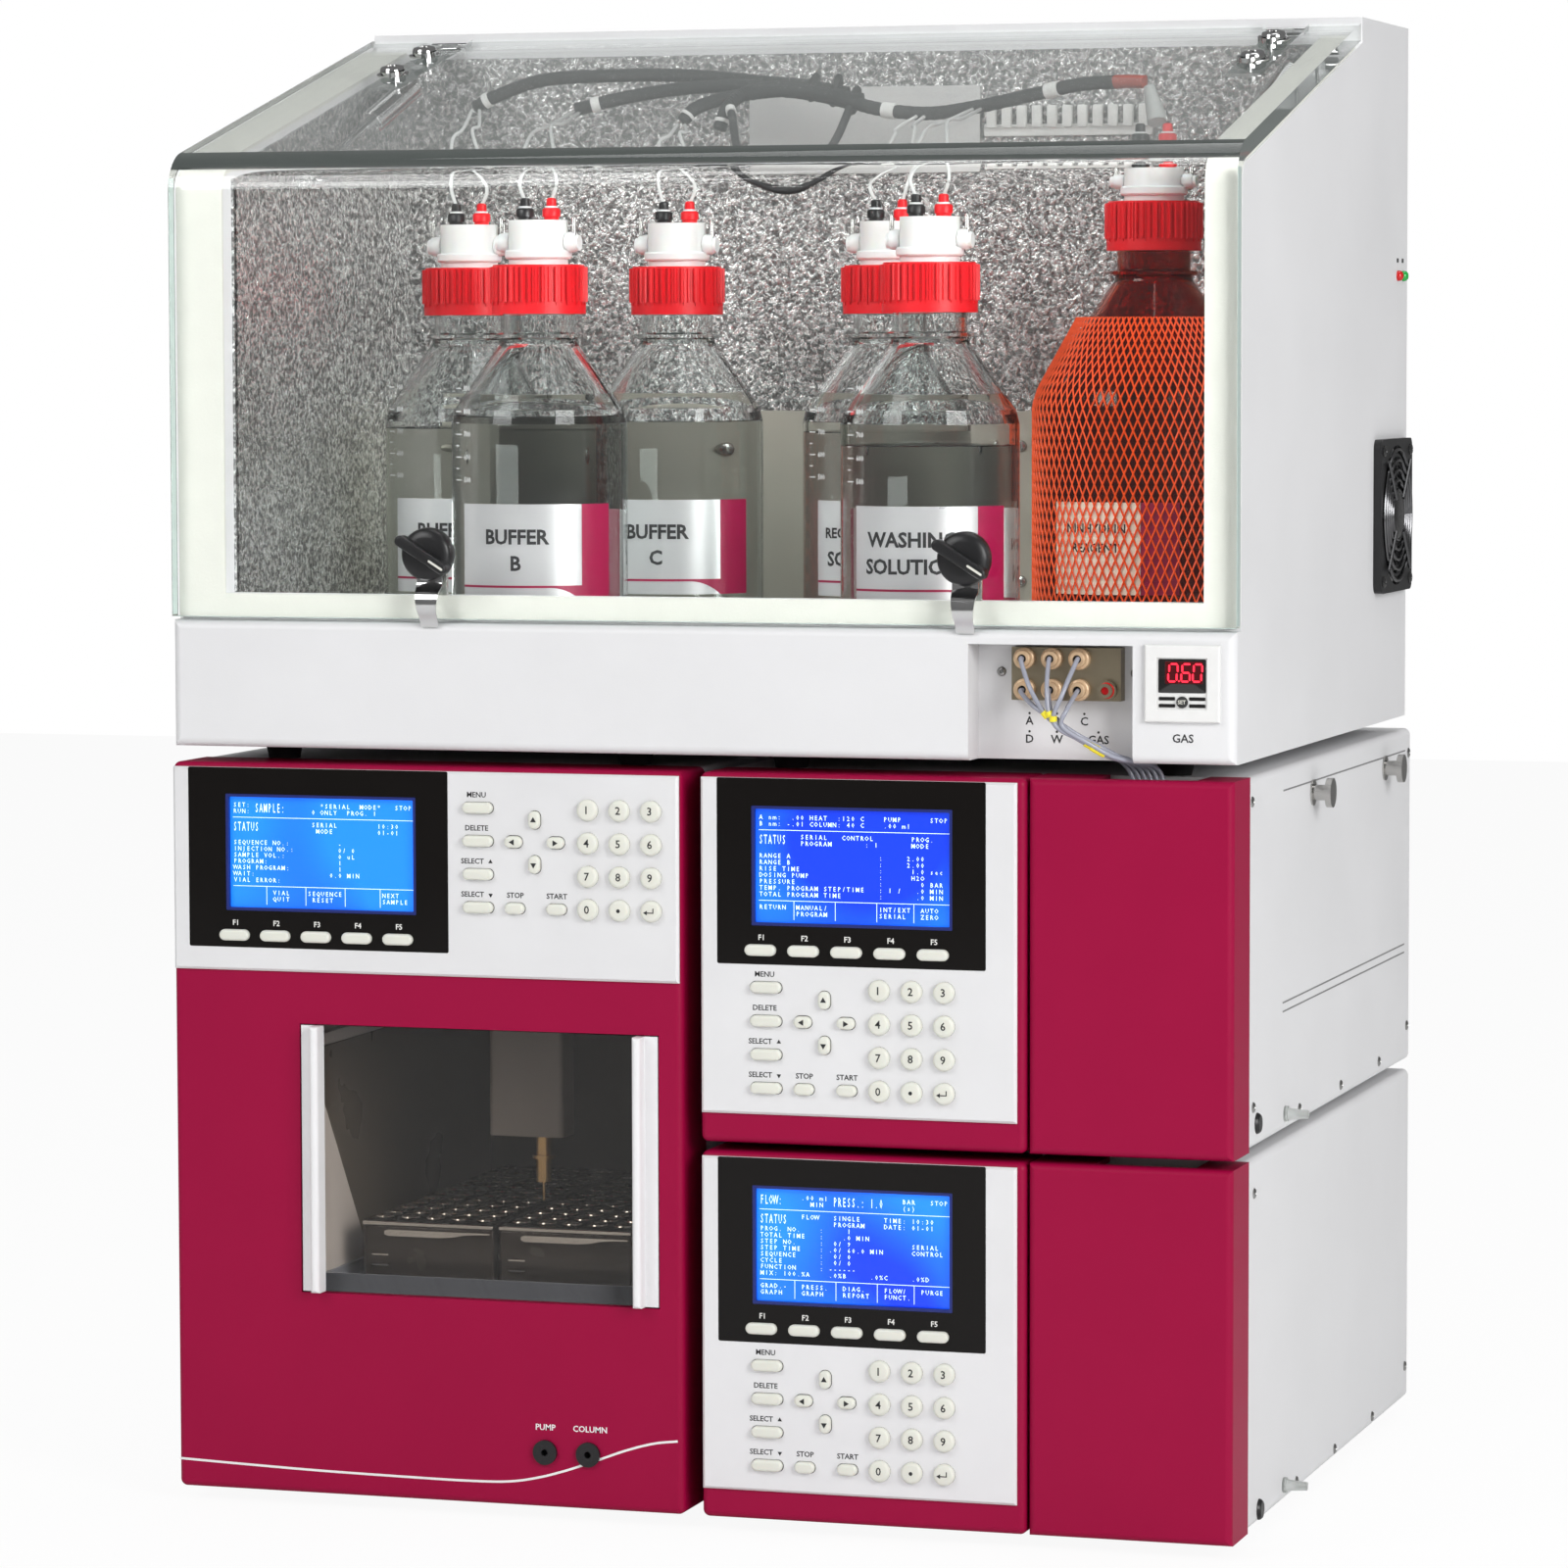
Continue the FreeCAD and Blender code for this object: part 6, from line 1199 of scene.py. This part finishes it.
class Gas(AnalyzerStep):
    """Dresses the manifold with nuts, a red plug, thin tubes and letters, and the meter with its face."""

    bl_idname = "analyzer.gas"
    bl_label = "Gas manifold and meter"

    def build(self):
        dress("bronze", "gas_manifold")
        low, high = span("gas_manifold")
        face = low[1] + 7
        columns = [low[0] + 7.75 + 15.5 * number for number in range(4)]
        lower, upper = low[2] + 6, low[2] + 23
        spots = [(x, z) for z in (upper, lower) for x in columns[:3]]
        nut = [(5.9, 0), (5.9, -3.6), (5.4, -4.2), (4.6, -4.4), (4.4, -7.4), (3.9, -7.9), (2.4, -7.9),
               (2.3, -5.0)]
        piece("manifold_nuts", [turned([(radius, face + way) for radius, way in nut], (x, 0, z), "y", 28)
                                for x, z in spots], "nut_beige")
        piece("manifold_bores", [turned([(2.5, face - 5.2), (0, face - 5.2)], (x, 0, z), "y", 20)
                                 for x, z in spots], "black_plastic")
        plug = [(4.6, face), (4.6, face - 3.2), (4.1, face - 4.3), (2.6, face - 4.6), (0, face - 4.6)]
        piece("manifold_plug", turned(plug, (columns[3], 0, lower), "y", 28), "cap_red")
        piece("manifold_screws", [screw_head((x, high[1] - 0.1, low[2] + 15), "y", 2.6, -1.4)
                                  for x in (high[0] + 6, low[0] - 8)], "screw_zinc")
        names = [("A", columns[0], 456), ("B", columns[1], 456), ("C", columns[2], 456),
                 ("D", columns[0], 446),
                 ("W", columns[1], 446), ("GAS", columns[2] + 8, 446)]
        words = lettering([(word, x, z, 6.4) for word, x, z in names], high[1] - 0.05)
        dots = [turned([(0, -0.06), (0.7, -0.06), (0.7, 0)], (x, high[1] - 0.05, z + 4.3), "y", 10, True)
                for _, x, z in names]
        piece("manifold_print", [words, *dots], "dark_print", smooth=False)
        self.tubes(spots, face)
        self.meter()

    def tubes(self, spots, face):
        """Thin tubes that sag from the nuts to the notch over the door, with yellow sleeves where
        they meet."""
        radius = size("tube_width") / 2 + 0.2
        tubes, sleeves = [], []
        for number, (x, z) in enumerate(spots):
            odd = number % 2
            knot = np.array([203.0 + 1.6 * number, -243 - 1.2 * (number % 3),
                             459.5 - 1.1 * number + 1.5 * odd])
            end = np.array([244.0 + 3.2 * number, -212.5 + 0.4 * odd, 408])
            way = [(x, face - 5.5, z), (x + 0.4, face - 10.5, z - 1.2),
                   (x + 0.45 * (knot[0] - x), knot[1] + 1.5, z - 0.52 * (z - knot[2])), knot,
                   knot + (14, 4.5, -9.5), knot + (27, 13, -17.5), end + (-5, -1.5, 24), end + (0, 0, 12), end]
            path = curve_through(way, 80)
            tubes.append(tube(path, radius, 10))
            if number < 3:
                sleeves.append(tube(path[27:30], radius + 0.8, 12))
            if not odd:
                sleeves.append(tube(path[41:47], radius + 0.8, 12))
        piece("gas_tubes", tubes, "tube_grey")
        piece("tube_sleeves", sleeves, "sleeve_yellow")

    def meter(self):
        """The meter's glass, window, digits and lines, the print on its key, and the word below it."""
        dress("meter_white", "pressure_meter")
        dress("set_dark", "meter_set_key")
        low, high = span("pressure_meter")
        x, z, front = (low[0] + high[0]) / 2, (low[2] + high[2]) / 2, low[1]
        glass = slab((x, z + 4.2), 26.4, 18.4, front + 0.55, front + 1.2, "y", 0.8, 0.3, 2, 4)
        piece("meter_face", glass, "meter_black")
        window = slab((x + 1, z + 6), 21, 12.2, front + 0.45, front + 0.7, "y", 0.6, 0.1, 1, 3)
        piece("meter_window", window, "window_red")
        bars = [bar for digit, offset in (("0", -5.0), ("6", 2.2), ("0", 8.6))
                for bar in seven_segments(digit, x + offset, z + 6, 9.4, front + 0.42)]
        bars.append(slab((x - 1.6, z + 1.5), 1.0, 1.0, front + 0.27, front + 0.42, "y", 0.4, 0.05, 1, 3))
        piece("meter_digits", bars, "digit_red", smooth=False)
        key_low, key_high = span("meter_set_key")
        key = (key_low + key_high) / 2
        piece("meter_lines",
              [slab((x + side * 8.4, key[2] + up), 9.0, 1.9, front + 0.5, front + 1.0, "y", 0.3, 0.1, 1, 2)
               for up in (1.9, -1.9) for side in (-1, 1)], "meter_black", smooth=False)
        piece("set_key_print", lettering([("SET", key[0], key[2], 2.9)], key_low[1] - 0.02), "key_face",
              "meter_set_key", smooth=False)
        piece("meter_print", lettering([("GAS", x, low[2] - 9, 6.4)], FRONT - 0.02), "dark_print",
              smooth=False)


# Bottles
LEVELS = (614, 618, 612, 622, 606)
CONTENTS = (("BUFFER", "A"), ("BUFFER", "C"), ("REGENERATION", "SOLUTION"), ("BUFFER", "B"),
            ("WASHING", "SOLUTION"))


def bottle_place(name):
    """Centre, radius, lowest and highest height of a bottle."""
    low, high = span(name)
    return (low[:2] + high[:2]) / 2, (high[0] - low[0]) / 2, low[2], high[2]


def wrapped(skin, outline):
    """Flat points (around, up) laid on an upright cylinder, given as its centre, radius and middle angle."""
    centre, radius, azimuth = skin
    angle = azimuth + outline[..., 0] / radius
    return np.stack([centre[0] + radius * np.cos(angle), centre[1] + radius * np.sin(angle),
                     outline[..., 1]], -1)


def patch(skin, left, right, low, high, columns=40):
    """A label on a cylinder: a grid between a low and a high edge line, each a number or one value
    for each column."""
    across = np.linspace(left, right, columns)
    bottom, top = (np.broadcast_to(np.asarray(edge, float), (columns,)) for edge in (low, high))
    up = bottom + np.linspace(0, 1, 4)[:, None] * (top - bottom)
    grid = wrapped(skin, np.stack([np.broadcast_to(across, up.shape), up], -1))
    return grid.reshape(-1, 3), [quads_of(4, columns, wrap=False)]


def wrapped_word(skin, word, tall, spot, **form):
    points, faces = glyph(word, tall, **form)
    return wrapped(skin, points[:, :2] + spot), [faces]


class Bottles(AnalyzerStep):
    """Fills, labels and closes the bottles, and dresses the amber one in its net."""

    bl_idname = "analyzer.bottles"
    bl_label = "Bottles"

    def build(self):
        dress("bottle_clear", *BOTTLES)
        dress("amber_clear", "amber_bottle")
        dress("cap_red", "bottle_caps")
        dress("head_white", "bottle_heads")
        liquid, labels, stripes, letters, ticks = [], [], [], [], []
        turn, mark_turn = math.radians(-73), math.radians(-73) - 1.16
        across = np.linspace(-49, 27, 40)
        sweep = 7.6 * (1 - np.clip((across - 8) / 19, 0, 1) ** 2)
        for name, level, words in zip(BOTTLES, LEVELS, CONTENTS):
            centre, radius, low, _ = bottle_place(name)
            floor, inner = low + 3.2, radius - 2.8
            liquid.append(turned([(0, floor), (radius - 9, floor), (radius - 4.4, floor + 1.6),
                                  (inner, floor + 6),
                                  (inner, level), (radius - 3.4, level - 0.6), (0, level - 0.8)],
                                 (*centre, 0), "z", 64))
            skin, print_skin, word_skin = ((centre, radius + rise, turn) for rise in (0.2, 0.32, 0.4))
            z0, z1 = low + 40, low + 95
            labels.append(patch(skin, -49, 47, z0, z1))
            stripes += [patch(print_skin, 27, 47, z0, z1), patch(print_skin, -49, 27, z0 + sweep, z0 + 8.9)]
            letters += [wrapped_word(word_skin, word, 11.5 if len(word) < 12 else 8.2, (-12, z0 + up),
                                     weight=0.03)
                        for word, up in zip(words, (36, 21))]
            mark_skin = (centre, radius + 0.2, mark_turn)
            for number in range(9):
                up = low + 108 + 6.5 * number
                ticks.append(patch(mark_skin, 0, 4 if number % 2 else 7, up, up + 0.6, 6))
                if number % 2 == 0:
                    ticks.append(wrapped_word(mark_skin, f"{500 + 50 * number}", 4.4, (13, up + 0.3), thick=0,
                                              fine=1))
        piece("volume_marks", ticks, "white_print")
        piece("bottle_liquids", liquid, "clear_liquid")
        piece("label_fields", labels, "label_silver")
        piece("label_stripes", stripes, "label_magenta")
        piece("label_letters", letters, "dark_print", outward=False, smooth=False)
        self.amber()
        self.closures()

    def amber(self):
        """The dark liquid and the net: two families of strands that wind round the bottle in
        opposite ways."""
        centre, radius, low, _ = bottle_place("amber_bottle")
        fill = [(0, 3.2), (radius - 8, 3.2), (radius - 2.8, 8), (radius - 2.8, 150), (radius - 9, 163),
                (0, 162.4)]
        piece("amber_liquid", turned([(out, low + up) for out, up in fill], (*centre, 0), "z", 64),
              "amber_liquid")
        z = np.linspace(low + 3, low + 200, 58)
        body = np.interp(z - low, [0, 3, 150, 160, 223], [radius - 3, radius, radius, radius - 3.2, 30])
        count, sides, width = 84, 4, size("net_strand") / 2
        start = np.arange(count) * 2 * math.pi / count
        slant = np.cumsum(np.insert(np.diff(z) / body[1:], 0, 0)) * 0.42
        ring = np.arange(sides) * math.pi / 2
        out = body[None, :, None] + 0.35 + width + width * np.sin(ring)
        side = width * np.cos(ring) / body[None, :, None]
        step = np.arange(count)[:, None, None] * len(z) * sides
        strands = []
        for way in (1, -1):
            angle = (start[:, None] + way * slant[None])[..., None] + side
            points = np.stack([centre[0] + out * np.cos(angle), centre[1] + out * np.sin(angle),
                               np.broadcast_to(z[None, :, None], angle.shape)], -1)
            strands.append((points.reshape(-1, 3), [(quads_of(len(z), sides)[None] + step).reshape(-1, 4)]))
        # the strands carry a faint painted glow in their finish
        piece("amber_net", strands, "net_orange", outward=False)
        turn, z0 = math.radians(-76), low + 44
        piece("amber_label", patch((centre, radius + 0.12, turn), -64, -7.4, z0, z0 + 52), "amber_silver")
        skin = (centre, radius + 0.2, turn)
        piece("amber_stripe", patch(skin, -7.4, 14.6, z0, z0 + 52), "label_magenta")
        piece("amber_letters", [wrapped_word(skin, word, 7, (-35, z0 + up), weight=0.02)
                                for word, up in (("NINHYDRIN", 37), ("REAGENT", 26))],
              "dark_print", outward=False, smooth=False)

    def closures(self):
        """Ribbed caps with a plain foot, white heads, coloured fittings on top and metal pins in
        the side taps."""
        fitting = ((4.3, -0.5), (4.3, 1.5), (5.2, 2.2), (5.2, 6.0), (4.6, 6.8), (3.0, 7.4), (2.8, 12.0),
                   (1.9, 12.8),
                   (0, 12.9))
        pin = ((0, -17), (1.3, -17), (1.3, 1), (0.9, 1.8), (0, 2))
        collar = ((3.0, 0), (5.4, 0), (5.8, 1), (5.8, 5), (5.2, 6), (3.4, 6))
        foot = ((14, 3.4), (18.4, 3.4), (19.2, 4.4), (19.2, 7.6), (18.2, 8.6), (14, 8.6))
        rib = ((27.0, -1.1), (28.1, -0.5), (28.1, 0.5), (27.0, 1.1))
        parts = {"head_fittings_black": [], "head_fittings_red": [], "tap_pins": [], "head_collars": [],
                 "cap_ribs": []}
        black, red, pins, collars, ribs = parts.values()
        for name in (*BOTTLES, "amber_bottle"):
            centre, _, _, neck = bottle_place(name)
            cap, top = neck + 5.6, neck + 31
            for target, side in ((black, -1), (red, 1)):
                target.append(turned([(r, top + up) for r, up in fitting],
                                     (centre[0] + side * 8, centre[1], 0), "z", 22))
                pins.append(turned([(r, top + up) for r, up in pin],
                                   (centre[0] + side * 22, centre[1] - 1, 0), "z", 14))
                collars.append(turned(collar,
                                      (centre[0] + side * 17 - (6 if side < 0 else 0), centre[1], top - 12.5),
                                      "x", 24, True))
            collars.append(turned([(r, cap + up) for r, up in foot], (*centre, 0), "z", 40, True))
            for angle in np.linspace(0, 2 * math.pi, 44, endpoint=False):
                out = np.array([math.cos(angle), math.sin(angle)])
                flat = [centre + out * far + np.array([-out[1], out[0]]) * wide for far, wide in rib]
                ribs.append(loft([[(*point, z) for point in flat] for z in (neck - 15.5, neck + 4.4)]))
        for (name, shapes), look in zip(parts.items(), ("black_plastic", "cap_red", "bright_steel",
                                                        "head_white", "cap_red")):
            piece(name, shapes, look, smooth=name != "cap_ribs")


# Hoses in the cabinet top: paths, and where their white markers start
HOSES = {
    "long": (((-223, 20, 799), (-208, 20, 806), (-179, 25, 815), (-131, 30, 817), (-88, 30, 816),
              (-57, 30, 813),
              (-19, 26, 809), (10, 24, 804)), (6,)),
    "low": (((-154, 5, 796), (-124, 10, 803), (-89, 15, 808), (-54, 20, 809), (-13, 24, 804), (14, 22, 798)),
            (6,)),
    "middle": (((-85, 0, 788), (-78, 5, 796), (-60, 10, 802), (-28, 15, 806), (-5, 20, 804), (20, 20, 800)),
               (6,)),
    "drop": (((-62, 0, 783), (-58, 5, 797), (-46, 14, 806), (-20, 22, 808), (4, 28, 806)), (6,)),
    "right": (((-30, 28, 806), (-8, 24, 806), (10, 20, 800), (33, 15, 794), (64, 8, 791), (95, 0, 794),
               (132, -12, 800), (163, -22, 805), (190, -30, 806)), (34, 70)),
    "loop": (((-60, 10, 800), (-52, -6, 789), (-44, -22, 772), (-30, -32, 758), (-10, -34, 752),
              (4, -26, 758),
              (12, -8, 776), (14, 14, 795)), (6,)),
}
TIES = (((2, 26, 806), 9.5), ((14, 24, 800), 8.0), ((-12, 26, 808), 8.0))
TUBE_ENDS = ((-222, 18, 797), (-86, 0, 786), (60, 8, 790), (-154, 4, 794), (96, 0, 793))
TUBE_CEILING = 757


class Hoses(AnalyzerStep):
    """Lays the black braided hoses with white markers and the thin tubes down to the bottle heads."""

    bl_idname = "analyzer.hoses"
    bl_label = "Hoses"

    def build(self):
        hoses, markers = [], []
        weave = 1 + 0.05 * np.sin(np.linspace(0, 90 * math.pi, 90))
        for name, (route, starts) in HOSES.items():
            path = curve_through(route, 90)
            wide = size("hose_width") / 2 * (0.62 if name == "loop" else 1)
            hoses.append(tube(path, wide * weave, 14))
            markers += [tube(path[start:start + 4], wide + 0.7, 14) for start in starts]
        piece("braided_hoses", hoses, "braid_black")
        piece("hose_markers", markers, "marker_white")
        turn = np.linspace(0, 2 * math.pi, 33)
        oval = np.stack([0.25 * np.cos(turn), 0.55 * np.sin(turn), np.cos(turn)], -1)
        piece("hose_ties",
              [tube(np.asarray(centre, float) + radius * oval * 0.8, 2.4, 10, False, (1, 0.1, 0.1))
               for centre, radius in TIES], "braid_black")
        tip = tube(curve_through([(186, -29, 806), (194, -31, 806.5), (204, -33, 806)], 8), 4.3, 14)
        piece("hose_red_tip", tip, "tip_red")
        cone = [(208, -38, 802), (211, -42, 794), (214, -46, 786), (215, -48, 782)]
        piece("tube_cone", tube(cone, (3.4, 4.6, 5.6, 5.6), 16), "cone_grey")
        self.drops()

    def drops(self):
        """A pair of thin tubes from each head to the bundle, kept under the hood's slope."""
        tubes = []
        for name, target in zip(BOTTLES, TUBE_ENDS):
            centre, _, _, neck = bottle_place(name)
            lean = 1 if target[0] > centre[0] else -1
            for side, lift in ((-8, 0), (8, 4)):
                start = np.array([centre[0] + side, centre[1], neck + 42])
                end = np.array(target, float) + (side * 0.3, 0, 0)
                way = np.array([start, start + (0.4 * side, 0, 12), start * 0.7 + end * 0.3
                                + (lean * 4, -3, 18 + lift),
                                (start + end) / 2 + (0, -2, 14 + lift * 0.5), end])
                way[:, 2] = np.minimum(way[:, 2], TUBE_CEILING + (way[:, 1] - EDGE_Y) * SLOPE)
                tubes.append(tube(curve_through(way, 40), size("tube_width") / 2, 8))
        piece("bottle_tubes", tubes, "tube_milk")


class AnalyzerPanel(bpy.types.Panel):
    """Lists the steps in the sidebar."""

    bl_idname = "VIEW3D_PT_analyzer"
    bl_label = "Bench analyzer"
    bl_space_type = "VIEW_3D"
    bl_region_type = "UI"
    bl_category = "Analyzer"

    def draw(self, context):
        for step in STEPS:
            self.layout.operator(step.bl_idname)
        for group in (context.scene.analyzer_colours, context.scene.analyzer_sizes):
            for name in group.bl_rna.properties.keys():
                if name not in ("rna_type", "name"):
                    self.layout.prop(group, name)


STEPS = (Stage, Covers, Panels, Drawer, Cabinet, Gas, Bottles, Hoses)
CLASSES = (AnalyzerColours, AnalyzerSizes, *STEPS, AnalyzerPanel)


def register():
    for item in CLASSES:
        bpy.utils.register_class(item)
    bpy.types.Scene.analyzer_colours = bpy.props.PointerProperty(type=AnalyzerColours)
    bpy.types.Scene.analyzer_sizes = bpy.props.PointerProperty(type=AnalyzerSizes)


def unregister():
    del bpy.types.Scene.analyzer_sizes
    del bpy.types.Scene.analyzer_colours
    for item in reversed(CLASSES):
        bpy.utils.unregister_class(item)


def main():
    """Registers the add-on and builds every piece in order."""
    register()
    for step in STEPS:
        group, name = step.bl_idname.split(".")
        getattr(getattr(bpy.ops, group), name)()


if __name__ == "__main__":
    main()
